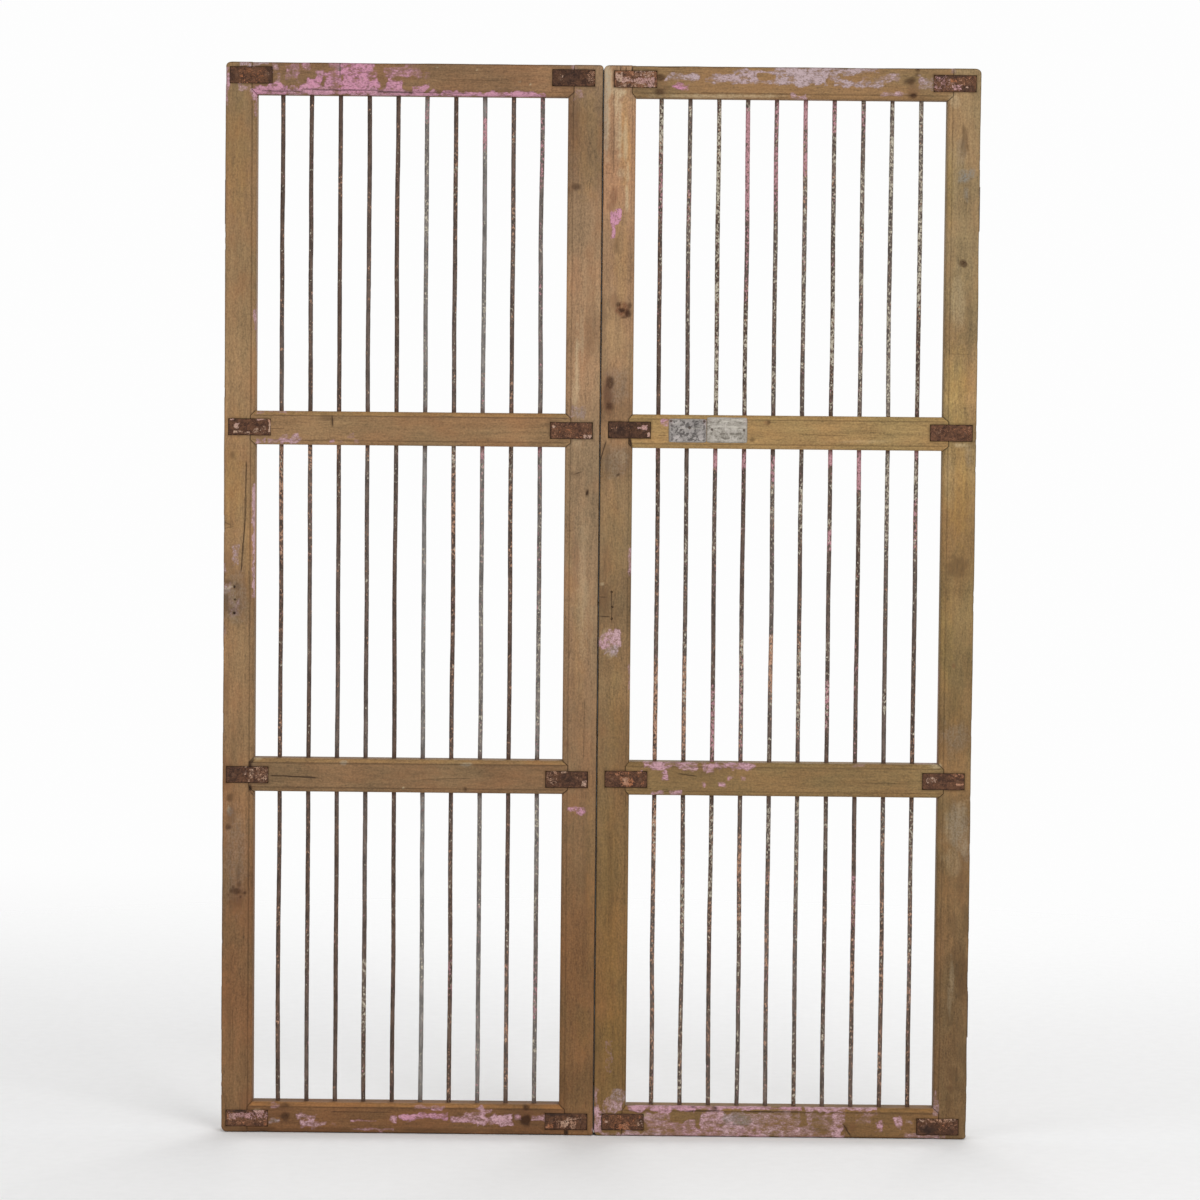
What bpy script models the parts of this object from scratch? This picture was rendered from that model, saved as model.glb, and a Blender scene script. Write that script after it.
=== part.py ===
"""Pair of barred jali doors: two framed leaves of weathered teak, each filled
with upright round iron bars, the frame joints bound with iron straps and each
leaf hung on two butt hinges at its outer edge.

Metres, +Z up.  The front of the doors looks along -Y, the leaves stand side by
side along X, and the origin is on the floor under the middle of the pair.
"""
import math

import bmesh
import bpy
from mathutils import Vector

# ---------------------------------------------------------------- dimensions
LEAF_H = 1.8545           # height of a leaf
LEAF_W = 0.6475           # width of a leaf
LEAF_T = 0.040            # thickness of stiles and rails
MEETING_GAP = 0.0036      # gap between the two leaves at the front, which the swing needs
MEET_BEVEL = 0.0017       # how much further each meeting edge reaches at the back

STILE_W = {               # face widths: (outer hanging stile, meeting stile)
    "left": (0.0540, 0.0585),
    "right": (0.0575, 0.0545),
}
CORNER_R = {              # worn corners at the outside: (top, bottom)
    ("left", "hang"): (0.007, 0.008), ("left", "meet"): (0.002, 0.002),
    ("right", "meet"): (0.005, 0.006), ("right", "hang"): (0.007, 0.004),
}
TOP_RAIL_H = 0.055
MID_RAIL_H = 0.058
BOTTOM_RAIL_H = 0.0525

# chamfer on the inner front arrises: its width across each stile's face, its
# width across the rails, and its depth into the thickness
MOULD_STILE = {("left", "hang"): 0.0080, ("left", "meet"): 0.0095,
               ("right", "meet"): 0.0065, ("right", "hang"): 0.0090}
MOULD_RAIL = 0.0080
MOULD_D = 0.007
TONGUE_D = 0.008          # depth of the mitred front shoulder of a rail
TENON_T = 0.012           # tenon thickness
TENON_L = 0.034           # tenon length
TENON_SHOULDER = 0.008    # tenon shoulder above and below
TENON_HAUNCH = 0.016      # tenon shoulder at the end of a stile

BARS = 10                 # bars in a leaf
BAR_R = 0.0040
BAR_PITCH = 0.0497
BAR_SINK = 0.030          # depth of a bar in the top and bottom rails
BAR_SIDES = 10

STRAP_L, STRAP_H, STRAP_T = 0.073, 0.0285, 0.003
STRAP_PROUD = 0.0005      # strap face in front of the wood
NAIL_R, NAIL_PROUD = 0.0032, 0.0010
NAIL_INSET = 0.012        # nail from the end of a strap

# Each strap: how far it starts in from the edge of the leaf, and how far its
# centre sits below the centre of its rail.
STRAP_PLACE = {
    ("left", "hang"): {"top": (0.0075, -0.0050), "upper": (0.0075, -0.0010),
                       "lower": (0.0065, 0.0000), "bottom": (0.0085, 0.0020)},
    ("left", "meet"): {"top": (0.0130, -0.0050), "upper": (0.0115, 0.0000),
                       "lower": (0.0140, 0.0030), "bottom": (0.0095, 0.0025)},
    ("right", "meet"): {"top": (0.0170, -0.0040), "upper": (0.0125, -0.0020),
                        "lower": (0.0125, 0.0015), "bottom": (0.0125, 0.0020)},
    ("right", "hang"): {"top": (0.0090, -0.0015), "upper": (0.0070, -0.0020),
                        "lower": (0.0120, 0.0000), "bottom": (0.0135, 0.0050)},
}

# Two small tin plates nailed side by side on the right leaf's upper rail:
# start from the meeting edge, width, height, rise above the rail's centre.
TIN_T = 0.0007
TIN_PLATES = {
    "tin_plate_dark": (0.1165, 0.0655, 0.0410, 0.0020),
    "tin_plate_pale": (0.1820, 0.0705, 0.0440, 0.0035),
}

HINGE_Z = {"lower": 0.215, "upper": 1.615}   # hinge centres above the floor
HINGE_L = 0.076
FLAP_T = 0.0022
FLAP_W = 0.033            # from the pin's axis to the flap's front edge
KNUCKLES = 5
KNUCKLE_R = 0.005
KNUCKLE_SIDES = 12
PIN_R = 0.0025
PIN_TIP = 0.0015          # rounded pin end standing out of the knuckles
SCREW_R = 0.0022          # screw holes in the flaps
SCREW_BACK = 0.019        # screw line, from the pin's axis
BARREL_OFF = 0.0008       # clear space between the barrel and the stile
JAMB_GAP = 0.0012         # flap standing proud of the stile's edge

GAP = 0.0003              # working gap where two pieces touch
JOINT = 0.0006            # open line of the shrunk joints on the face
OVER = 0.004              # how far a cutter runs past the face it cuts

# ------------------------------------------------------------- derived places
PROUD = STRAP_PROUD + NAIL_PROUD
AXIS_BACK = KNUCKLE_R + BARREL_OFF           # hinge axis behind the back face
DEPTH = PROUD + LEAF_T + AXIS_BACK + KNUCKLE_R
Y_FRONT = -DEPTH / 2 + PROUD
Y_BACK = Y_FRONT + LEAF_T
Y_MID = Y_FRONT + LEAF_T / 2
Y_AXIS = Y_BACK + AXIS_BACK

OPEN_H = (LEAF_H - TOP_RAIL_H - 2 * MID_RAIL_H - BOTTOM_RAIL_H) / 3
RAILS = {}
z = 0.0
for rail, height in (("bottom", BOTTOM_RAIL_H), ("lower", MID_RAIL_H),
                     ("upper", MID_RAIL_H), ("top", TOP_RAIL_H)):
    RAILS[rail] = (z, z + height)
    z += height + OPEN_H

# ---------------------------------------------------------------- materials
FINISH = {                # base colour (linear), roughness, metallic
    "teak_left": ((0.262, 0.157, 0.079), 0.72, 0.0),
    "teak_right": ((0.290, 0.184, 0.090), 0.72, 0.0),
    "bar_iron": ((0.105, 0.074, 0.061), 0.62, 0.55),
    "strap_iron": ((0.116, 0.060, 0.042), 0.78, 0.45),
    "tin_dark": ((0.262, 0.230, 0.219), 0.48, 0.75),
    "tin_pale": ((0.361, 0.328, 0.287), 0.50, 0.70),
    "hinge_iron": ((0.090, 0.066, 0.055), 0.60, 0.70),
}


def finish(obj, kind):
    colour, rough, metal = FINISH[kind]
    mat = bpy.data.materials.new(obj.name + "_" + kind)
    mat.use_nodes = True
    bsdf = mat.node_tree.nodes["Principled BSDF"]
    bsdf.inputs["Base Color"].default_value = (*colour, 1.0)
    bsdf.inputs["Roughness"].default_value = rough
    bsdf.inputs["Metallic"].default_value = metal
    mat.diffuse_color = (*colour, 1.0)
    obj.data.materials.clear()
    obj.data.materials.append(mat)


# ------------------------------------------------------------- shape helpers
def to_object(name, bm):
    """Closed shape, faces out, as an object of the scene."""
    bmesh.ops.recalc_face_normals(bm, faces=bm.faces)
    mesh = bpy.data.meshes.new(name)
    bm.to_mesh(mesh)
    bm.free()
    obj = bpy.data.objects.new(name, mesh)
    bpy.context.scene.collection.objects.link(obj)
    return obj


def extrude_outline(bm, points, step):
    """Adds a prism: the closed outline, pushed along the step vector."""
    verts = [bm.verts.new(p) for p in points]
    face = bm.faces.new(verts)
    made = bmesh.ops.extrude_face_region(bm, geom=[face], use_keep_orig=True)
    top = [v for v in made["geom"] if isinstance(v, bmesh.types.BMVert)]
    bmesh.ops.translate(bm, verts=top, vec=step)


def add_box(bm, x, y, z):
    """Adds a box from pairs of limits, in either order."""
    x0, x1 = sorted(x)
    y0, y1 = sorted(y)
    z0, z1 = sorted(z)
    extrude_outline(bm, [(x0, y0, z0), (x1, y0, z0), (x1, y1, z0), (x0, y1, z0)],
                    Vector((0, 0, z1 - z0)))


def add_round(bm, x, y, z0, z1, radius, sides):
    """Adds an upright round bar."""
    ring = [(x + radius * math.cos(2 * math.pi * i / sides),
             y + radius * math.sin(2 * math.pi * i / sides), z0)
            for i in range(sides)]
    extrude_outline(bm, ring, Vector((0, 0, z1 - z0)))


def add_across(bm, axis, centre, reach, radius, sides):
    """Adds a round bar along X or Y, reach metres to either side of centre."""
    ring = []
    for i in range(sides):
        a = 2 * math.pi * (i + 0.5) / sides
        u, w = radius * math.cos(a), radius * math.sin(a)
        if axis == "X":
            ring.append((centre[0] - reach, centre[1] + u, centre[2] + w))
        else:
            ring.append((centre[0] + u, centre[1] - reach, centre[2] + w))
    step = (2 * reach, 0, 0) if axis == "X" else (0, 2 * reach, 0)
    extrude_outline(bm, ring, Vector(step))


def boolean(obj, bm, operation):
    """Cuts or joins a shape into the object, and keeps the result as its mesh."""
    tool = to_object(obj.name + "_tool", bm)
    tool.hide_render = True
    tool.display_type = "WIRE"
    mod = obj.modifiers.new(operation.lower(), "BOOLEAN")
    mod.operation = operation
    mod.solver = "EXACT"
    mod.object = tool
    graph = bpy.context.evaluated_depsgraph_get()
    made = bpy.data.meshes.new_from_object(obj.evaluated_get(graph))
    obj.modifiers.clear()
    old, obj.data = obj.data, made
    made.name = obj.name
    bpy.data.meshes.remove(old)
    spare = tool.data
    bpy.data.objects.remove(tool, do_unlink=True)
    bpy.data.meshes.remove(spare)


def cut(obj, bm):
    boolean(obj, bm, "DIFFERENCE")


def join(obj, bm):
    boolean(obj, bm, "UNION")


def smooth(obj, degrees=40):
    obj.data.shade_smooth()
    obj.data.set_sharp_from_angle(angle=math.radians(degrees))


# ----------------------------------------------------------------- leaf plan
class Leaf:
    """Places of one leaf.  Left leaf: hanging stile at -X; right leaf: at +X."""

    def __init__(self, side):
        self.side = side
        self.out = -1 if side == "left" else 1          # towards the jamb
        hang, meet = STILE_W[side]
        self.x_meet = self.out * MEETING_GAP / 2        # meeting edge
        self.x_hang = self.x_meet + self.out * LEAF_W   # outer edge
        self.x_meet_in = self.x_meet + self.out * meet  # inner edges of the stiles
        self.x_hang_in = self.x_hang - self.out * hang
        self.x_axis = self.x_hang + self.out * (JAMB_GAP - FLAP_T - GAP / 2)
        mid = (self.x_meet_in + self.x_hang_in) / 2
        self.bars = [mid + self.out * BAR_PITCH * (i - (BARS - 1) / 2)
                     for i in range(BARS)]
        if self.out < 0:
            self.bars.reverse()                         # number bars from the left

    def stile(self, which):
        """Outer edge, inner edge and the direction from the one to the other."""
        if which == "hang":
            return self.x_hang, self.x_hang_in, -self.out
        return self.x_meet, self.x_meet_in, self.out

    def strap(self, which, rail):
        """Limits of a strap along X and Z."""
        edge, _, d = self.stile(which)
        start, drop = STRAP_PLACE[self.side, which][rail]
        z0, z1 = RAILS[rail]
        z = (z0 + z1) / 2 - drop
        x0, x1 = edge + d * start, edge + d * (start + STRAP_L)
        return sorted((x0, x1)), (z - STRAP_H / 2, z + STRAP_H / 2)


def tenon_span(rail):
    z0, z1 = RAILS[rail]
    low = TENON_HAUNCH if rail == "bottom" else TENON_SHOULDER
    high = TENON_HAUNCH if rail == "top" else TENON_SHOULDER
    return z0 + low, z1 - high


def strap_recess(bm, leaf, which, rail):
    (x0, x1), (z0, z1) = leaf.strap(which, rail)
    floor = Y_FRONT + STRAP_T - STRAP_PROUD + GAP
    add_box(bm, (x0 - GAP, x1 + GAP), (Y_FRONT - OVER, floor), (z0 - GAP, z1 + GAP))


# --------------------------------------------------------------------- stiles
def make_stile(leaf, which):
    edge, inner, d = leaf.stile(which)
    word = "hanging" if which == "hang" else "meeting"
    bm = bmesh.new()
    back = edge - d * (MEET_BEVEL if which == "meet" else 0)
    near = MEET_BEVEL + 1e-5
    extrude_outline(bm, [(edge, Y_FRONT, 0), (inner, Y_FRONT, 0),
                         (inner, Y_BACK, 0), (back, Y_BACK, 0)], Vector((0, 0, LEAF_H)))
    # worn corners at the top and the bottom, and eased outer arrises
    for level, radius in zip((LEAF_H, 0), CORNER_R[leaf.side, which]):
        corner = [e for e in bm.edges
                  if all(abs(v.co.x - edge) < near and abs(v.co.z - level) < 1e-6
                         for v in e.verts)]
        bmesh.ops.bevel(bm, geom=corner, offset=radius, segments=3, affect="EDGES",
                        profile=0.5, clamp_overlap=True)
    outer = [e for e in bm.edges
             if all(abs(v.co.x - edge) < near for v in e.verts)
             and abs(e.verts[0].co.z - e.verts[1].co.z) > 0.1]
    bmesh.ops.bevel(bm, geom=outer, offset=0.0025, segments=2, affect="EDGES",
                    profile=0.5, clamp_overlap=True)
    obj = to_object(f"{leaf.side}_{word}_stile", bm)

    # chamfer down the inner front arris
    wide = MOULD_STILE[leaf.side, which]
    bm = bmesh.new()
    run = OVER / wide
    extrude_outline(bm, [
        (inner - d * wide * (1 + run), Y_FRONT - MOULD_D * run, -OVER),
        (inner + d * wide * run, Y_FRONT + MOULD_D * (1 + run), -OVER),
        (inner + d * wide * run, Y_FRONT - MOULD_D * run, -OVER),
    ], Vector((0, 0, LEAF_H + 2 * OVER)))
    cut(obj, bm)

    # mitred seats for the front shoulders of the rails
    bm = bmesh.new()
    slope = MOULD_RAIL / wide
    lift = JOINT * math.hypot(1, slope)
    deep, sunk = inner - d * (wide + JOINT), slope * (wide + JOINT)
    past, rise = inner + d * OVER, slope * OVER
    for rail, (z0, z1) in RAILS.items():
        if rail == "bottom":
            low = [(past, -OVER), (deep, -OVER)]
        else:
            low = [(past, z0 - lift - rise), (deep, z0 - lift + sunk)]
        if rail == "top":
            high = [(deep, LEAF_H + OVER), (past, LEAF_H + OVER)]
        else:
            high = [(deep, z1 + lift - sunk), (past, z1 + lift + rise)]
        y0, y1 = Y_FRONT - OVER, Y_FRONT + TONGUE_D + GAP
        extrude_outline(bm, [(x, y0, z) for x, z in low + high],
                        Vector((0, y1 - y0, 0)))
    cut(obj, bm)

    # mortises
    bm = bmesh.new()
    for rail in RAILS:
        z0, z1 = tenon_span(rail)
        add_box(bm, (inner + d * OVER, inner - d * (TENON_L + GAP)),
                (Y_MID - TENON_T / 2 - GAP, Y_MID + TENON_T / 2 + GAP),
                (z0 - GAP, z1 + GAP))
    cut(obj, bm)

    # recesses for the straps
    bm = bmesh.new()
    for rail in RAILS:
        strap_recess(bm, leaf, which, rail)
    cut(obj, bm)

    # hinge recesses in the outer edge, open at the back
    if which == "hang":
        bm = bmesh.new()
        floor = leaf.x_axis - leaf.out * (FLAP_T + GAP * 1.5)
        for z in HINGE_Z.values():
            add_box(bm, (floor, edge + leaf.out * OVER),
                    (Y_AXIS - FLAP_W - GAP, Y_BACK + OVER),
                    (z - HINGE_L / 2 - GAP, z + HINGE_L / 2 + GAP))
        cut(obj, bm)
    finish(obj, "teak_" + leaf.side)
    return obj


# ---------------------------------------------------------------------- rails
def make_rail(leaf, rail):
    z0, z1 = RAILS[rail]
    left, right = sorted((leaf.x_meet_in, leaf.x_hang_in))
    bm = bmesh.new()
    add_box(bm, (left - TENON_L, right + TENON_L), (Y_FRONT, Y_BACK), (z0, z1))
    obj = to_object(f"{leaf.side}_{rail}_rail", bm)

    t0, t1 = Y_MID - TENON_T / 2, Y_MID + TENON_T / 2
    tz0, tz1 = tenon_span(rail)
    tongue = Y_FRONT + TONGUE_D
    for which in ("hang", "meet"):
        _, inner, d = leaf.stile(which)
        wide = MOULD_STILE[leaf.side, which]
        end = inner - d * (TENON_L + OVER)
        shoulder = inner + d * GAP
        # front cheek of the tenon, behind and beside the mitred shoulder
        bm = bmesh.new()
        extrude_outline(bm, [(x, y, z0 - OVER) for x, y in (
            (end, Y_FRONT - OVER), (inner - d * wide, Y_FRONT - OVER),
            (inner - d * wide, tongue), (shoulder, tongue),
            (shoulder, t0), (end, t0))], Vector((0, 0, z1 - z0 + 2 * OVER)))
        # back cheek
        add_box(bm, (end, shoulder), (t1, Y_BACK + OVER), (z0 - OVER, z1 + OVER))
        cut(obj, bm)
        # shoulders above and below the tenon
        bm = bmesh.new()
        add_box(bm, (end, shoulder), (t0 - 0.001, t1 + 0.001), (z0 - OVER, tz0))
        add_box(bm, (end, shoulder), (t0 - 0.001, t1 + 0.001), (tz1, z1 + OVER))
        cut(obj, bm)
        # mitres of the front shoulder
        bm = bmesh.new()
        slope = MOULD_RAIL / wide
        past = wide + OVER
        for z, s, wanted in ((z0, 1, rail != "bottom"), (z1, -1, rail != "top")):
            if wanted:
                extrude_outline(bm, [(x, Y_FRONT - OVER, z + s * h) for x, h in (
                    (inner + d * OVER, -slope * OVER),
                    (inner - d * past, slope * past),
                    (inner - d * past, -slope * OVER))],
                    Vector((0, TONGUE_D + OVER + 0.001, 0)))
        cut(obj, bm)

    # chamfers along the arrises that face an opening
    bm = bmesh.new()
    run = OVER / MOULD_RAIL
    x0 = left - TENON_L - OVER
    length = Vector((right - left + 2 * (TENON_L + OVER), 0, 0))
    for z, s, wanted in ((z0, 1, rail != "bottom"), (z1, -1, rail != "top")):
        if wanted:
            extrude_outline(bm, [
                (x0, Y_FRONT - MOULD_D * run, z + s * MOULD_RAIL * (1 + run)),
                (x0, Y_FRONT + MOULD_D * (1 + run), z - s * MOULD_RAIL * run),
                (x0, Y_FRONT - MOULD_D * run, z - s * MOULD_RAIL * run)], length)
    cut(obj, bm)

    # holes for the bars: through the two middle rails, blind at top and bottom
    bm = bmesh.new()
    h0 = z1 - BAR_SINK - GAP if rail == "bottom" else z0 - OVER
    h1 = z0 + BAR_SINK + GAP if rail == "top" else z1 + OVER
    for x in leaf.bars:
        add_round(bm, x, Y_MID, h0, h1, BAR_R + GAP, BAR_SIDES)
    cut(obj, bm)

    bm = bmesh.new()
    strap_recess(bm, leaf, "hang", rail)
    strap_recess(bm, leaf, "meet", rail)
    cut(obj, bm)
    finish(obj, "teak_" + leaf.side)
    return obj


# ----------------------------------------------------------- bars and straps
def make_bar(leaf, number, x):
    bm = bmesh.new()
    add_round(bm, x, Y_MID, RAILS["bottom"][1] - BAR_SINK,
              RAILS["top"][0] + BAR_SINK, BAR_R, BAR_SIDES)
    obj = to_object(f"{leaf.side}_bar_{number:02d}", bm)
    smooth(obj)
    finish(obj, "bar_iron")
    return obj


def make_strap(leaf, which, rail):
    word = "hanging" if which == "hang" else "meeting"
    (x0, x1), (z0, z1) = leaf.strap(which, rail)
    face = Y_FRONT - STRAP_PROUD
    bm = bmesh.new()
    add_box(bm, (x0, x1), (face, face + STRAP_T), (z0, z1))
    front = [e for e in bm.edges if all(abs(v.co.y - face) < 1e-6 for v in e.verts)]
    bmesh.ops.bevel(bm, geom=front, offset=0.0006, segments=1, affect="EDGES",
                    profile=0.5, clamp_overlap=True)
    obj = to_object(f"{leaf.side}_{rail}_{word}_strap", bm)
    # a low nail head near either end
    bm = bmesh.new()
    for x in (x0 + NAIL_INSET, x1 - NAIL_INSET):
        z = (z0 + z1) / 2
        rings = []
        for y, r in ((face + 0.001, NAIL_R), (face - 0.0003, NAIL_R),
                     (face - NAIL_PROUD, NAIL_R * 0.62)):
            rings.append([bm.verts.new((x + r * math.cos(math.pi * (i + 0.5) / 4), y,
                                        z + r * math.sin(math.pi * (i + 0.5) / 4)))
                          for i in range(8)])
        bm.faces.new(rings[0])
        bm.faces.new(rings[-1])
        for a, b in zip(rings, rings[1:]):
            for i in range(8):
                j = (i + 1) % 8
                bm.faces.new((a[i], a[j], b[j], b[i]))
    join(obj, bm)
    finish(obj, "strap_iron")
    return obj


def make_tin(leaf, name):
    start, width, height, rise = TIN_PLATES[name]
    z0, z1 = RAILS["upper"]
    z = (z0 + z1) / 2 + rise
    x0 = leaf.x_meet + leaf.out * start
    x1 = x0 + leaf.out * (width - GAP)
    bm = bmesh.new()
    add_box(bm, (x0, x1), (Y_FRONT - GAP - TIN_T, Y_FRONT - GAP),
            (z - height / 2, z + height / 2))
    corners = [e for e in bm.edges if abs(e.verts[0].co.y - e.verts[1].co.y) > TIN_T / 2]
    bmesh.ops.bevel(bm, geom=corners, offset=0.0025, segments=2, affect="EDGES",
                    profile=0.5, clamp_overlap=True)
    obj = to_object(f"{leaf.side}_{name}", bm)
    finish(obj, "tin_dark" if "dark" in name else "tin_pale")
    return obj


# --------------------------------------------------------------------- hinges
def knuckle_spans(z, on_jamb):
    """Knuckles of one flap: the jamb's flap has the odd ones, and the pin."""
    step = HINGE_L / KNUCKLES
    low = z - HINGE_L / 2
    return [(low + i * step + (GAP / 2 if i else 0),
             low + (i + 1) * step - (GAP / 2 if i < KNUCKLES - 1 else 0))
            for i in range(KNUCKLES) if (i % 2 == 0) == on_jamb]


def make_flap(leaf, where, on_jamb):
    z = HINGE_Z[where]
    ax, out = leaf.x_axis, leaf.out if on_jamb else -leaf.out
    near, far = ax + out * GAP / 2, ax + out * (GAP / 2 + FLAP_T)
    word = "jamb" if on_jamb else "leaf"
    bm = bmesh.new()
    add_box(bm, (near, far), (Y_AXIS - FLAP_W, Y_AXIS),
            (z - HINGE_L / 2, z + HINGE_L / 2))
    obj = to_object(f"{leaf.side}_{where}_hinge_{word}_flap", bm)

    # room for the other flap's knuckles
    bm = bmesh.new()
    room = KNUCKLE_R + 2 * GAP
    for z0, z1 in knuckle_spans(z, not on_jamb):
        add_box(bm, (ax - KNUCKLE_R, ax + KNUCKLE_R), (Y_AXIS - room, Y_AXIS + OVER),
                (z0 - GAP, z1 + GAP))
    cut(obj, bm)

    # screw holes
    bm = bmesh.new()
    for k, back in ((-1, 0.0), (0, 0.005), (1, 0.0)):
        add_across(bm, "X", (ax, Y_AXIS - SCREW_BACK - back, z + k * HINGE_L * 0.36),
                   0.01, SCREW_R, 8)
    cut(obj, bm)

    # knuckles
    bm = bmesh.new()
    for z0, z1 in knuckle_spans(z, on_jamb):
        add_round(bm, ax, Y_AXIS, z0, z1, KNUCKLE_R, KNUCKLE_SIDES)
    join(obj, bm)
    bm = bmesh.new()
    if on_jamb:
        add_round(bm, ax, Y_AXIS, z - HINGE_L / 2 - PIN_TIP, z + HINGE_L / 2 + PIN_TIP,
                  PIN_R, KNUCKLE_SIDES)
        join(obj, bm)
    else:
        add_round(bm, ax, Y_AXIS, z - HINGE_L, z + HINGE_L, PIN_R + GAP, KNUCKLE_SIDES)
        cut(obj, bm)
    smooth(obj, 35)
    finish(obj, "hinge_iron")
    return obj


# ------------------------------------------------------------------- assembly
for existing in list(bpy.data.objects):
    bpy.data.objects.remove(existing, do_unlink=True)


def hang(objects, name, place):
    """Parents the objects to an empty and leaves them where they are."""
    empty = bpy.data.objects.new(name, None)
    empty.location = place
    empty.empty_display_size = 0.05
    bpy.context.scene.collection.objects.link(empty)
    bpy.context.view_layer.update()
    for obj in objects:
        obj.parent = empty
        obj.matrix_parent_inverse = empty.matrix_world.inverted()


jamb_flaps = []
for side in ("left", "right"):
    leaf = Leaf(side)
    swinging = []
    for which in ("hang", "meet"):
        swinging.append(make_stile(leaf, which))
    for rail in RAILS:
        swinging.append(make_rail(leaf, rail))
    for number, x in enumerate(leaf.bars, 1):
        swinging.append(make_bar(leaf, number, x))
    for rail in RAILS:
        for which in ("hang", "meet"):
            swinging.append(make_strap(leaf, which, rail))
    if side == "right":
        for name in TIN_PLATES:
            swinging.append(make_tin(leaf, name))
    for where in HINGE_Z:
        swinging.append(make_flap(leaf, where, False))
        jamb_flaps.append(make_flap(leaf, where, True))
    hang(swinging, side + "_leaf_axis", (leaf.x_axis, Y_AXIS, 0))
hang(jamb_flaps, "jamb", (0, 0, 0))
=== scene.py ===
import math

import bmesh
import bpy
import numpy as np
from mathutils import Matrix, Vector


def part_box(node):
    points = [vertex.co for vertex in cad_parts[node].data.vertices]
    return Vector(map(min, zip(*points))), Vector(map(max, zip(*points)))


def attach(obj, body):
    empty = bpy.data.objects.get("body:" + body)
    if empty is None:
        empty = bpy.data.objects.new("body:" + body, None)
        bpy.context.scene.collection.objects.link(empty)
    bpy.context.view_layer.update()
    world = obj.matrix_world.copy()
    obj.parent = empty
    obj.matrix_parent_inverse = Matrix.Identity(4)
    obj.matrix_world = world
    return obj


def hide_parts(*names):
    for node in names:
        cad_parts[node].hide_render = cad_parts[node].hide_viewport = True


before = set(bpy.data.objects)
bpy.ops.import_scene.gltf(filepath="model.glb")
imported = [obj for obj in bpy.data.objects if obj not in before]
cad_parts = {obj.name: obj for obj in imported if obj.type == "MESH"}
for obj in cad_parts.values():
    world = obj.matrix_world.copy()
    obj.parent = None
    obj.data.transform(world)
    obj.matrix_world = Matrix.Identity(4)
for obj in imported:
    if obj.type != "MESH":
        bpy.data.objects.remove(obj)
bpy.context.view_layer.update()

# --------------------------------------------------------------------------
# Sizes of the part, in metres, in the shared frame
# --------------------------------------------------------------------------
LEAF_H, LEAF_W, LEAF_T, MEETING_GAP, MEET_BEVEL = 1.8545, 0.6475, 0.040, 0.0036, 0.0018
STILE_W = {"left": (0.0540, 0.0585), "right": (0.0575, 0.0545)}
CORNER_R = {("left", "hang"): (0.0085, 0.0095), ("left", "meet"): (0.0035, 0.003),
            ("right", "meet"): (0.0080, 0.0075), ("right", "hang"): (0.0090, 0.0050)}
TOP_RAIL_H, MID_RAIL_H, BOTTOM_RAIL_H = 0.055, 0.058, 0.0525
MOULD_STILE = {("left", "hang"): 0.0080, ("left", "meet"): 0.0095,
               ("right", "meet"): 0.0065, ("right", "hang"): 0.0090}
MOULD_RAIL, MOULD_D, TONGUE_D = 0.0080, 0.007, 0.008
BARS, BAR_R, BAR_PITCH, BAR_SINK = 10, 0.0040, 0.0497, 0.030
STRAP_L, STRAP_H, STRAP_T, STRAP_PROUD = 0.073, 0.0285, 0.003, 0.0005
NAIL_R, NAIL_PROUD, NAIL_INSET = 0.0032, 0.0010, 0.012
STRAP_PLACE = {
    ("left", "hang"): {"top": (0.0075, -0.0050), "upper": (0.0075, -0.0010),
                       "lower": (0.0065, 0.0000), "bottom": (0.0085, 0.0020)},
    ("left", "meet"): {"top": (0.0130, -0.0050), "upper": (0.0115, 0.0000),
                       "lower": (0.0140, 0.0030), "bottom": (0.0095, 0.0025)},
    ("right", "meet"): {"top": (0.0170, -0.0040), "upper": (0.0125, -0.0020),
                        "lower": (0.0125, 0.0015), "bottom": (0.0125, 0.0020)},
    ("right", "hang"): {"top": (0.0090, -0.0015), "upper": (0.0070, -0.0020),
                        "lower": (0.0120, 0.0000), "bottom": (0.0135, 0.0050)},
}
HINGE_Z, HINGE_L, FLAP_W, FLAP_T = (0.215, 1.615), 0.076, 0.033, 0.0022
KNUCKLE_R, BARREL_OFF, JAMB_GAP = 0.005, 0.0008, 0.0012
GAP, JOINT = 0.0003, 0.0006

PROUD = STRAP_PROUD + NAIL_PROUD
AXIS_BACK = KNUCKLE_R + BARREL_OFF
Y_FRONT = -(PROUD + LEAF_T + AXIS_BACK + KNUCKLE_R) / 2 + PROUD
Y_BACK = Y_FRONT + LEAF_T
Y_MID = Y_FRONT + LEAF_T / 2
Y_AXIS = Y_BACK + AXIS_BACK
OPEN_H = (LEAF_H - TOP_RAIL_H - 2 * MID_RAIL_H - BOTTOM_RAIL_H) / 3
RAILS = {}
level = 0.0
for rail_name, rail_h in (("bottom", BOTTOM_RAIL_H), ("lower", MID_RAIL_H),
                          ("upper", MID_RAIL_H), ("top", TOP_RAIL_H)):
    RAILS[rail_name] = (level, level + rail_h)
    level += rail_h + OPEN_H
ORDER = list(RAILS)
WORD = {"hang": "hanging", "meet": "meeting"}

RECESS = STRAP_T - STRAP_PROUD + GAP      # depth of the bed under a strap
SEAT = TONGUE_D + GAP                     # depth of the seat under a rail's tongue
EPS = 0.00012                             # half width of a steep wall in a grid

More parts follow.
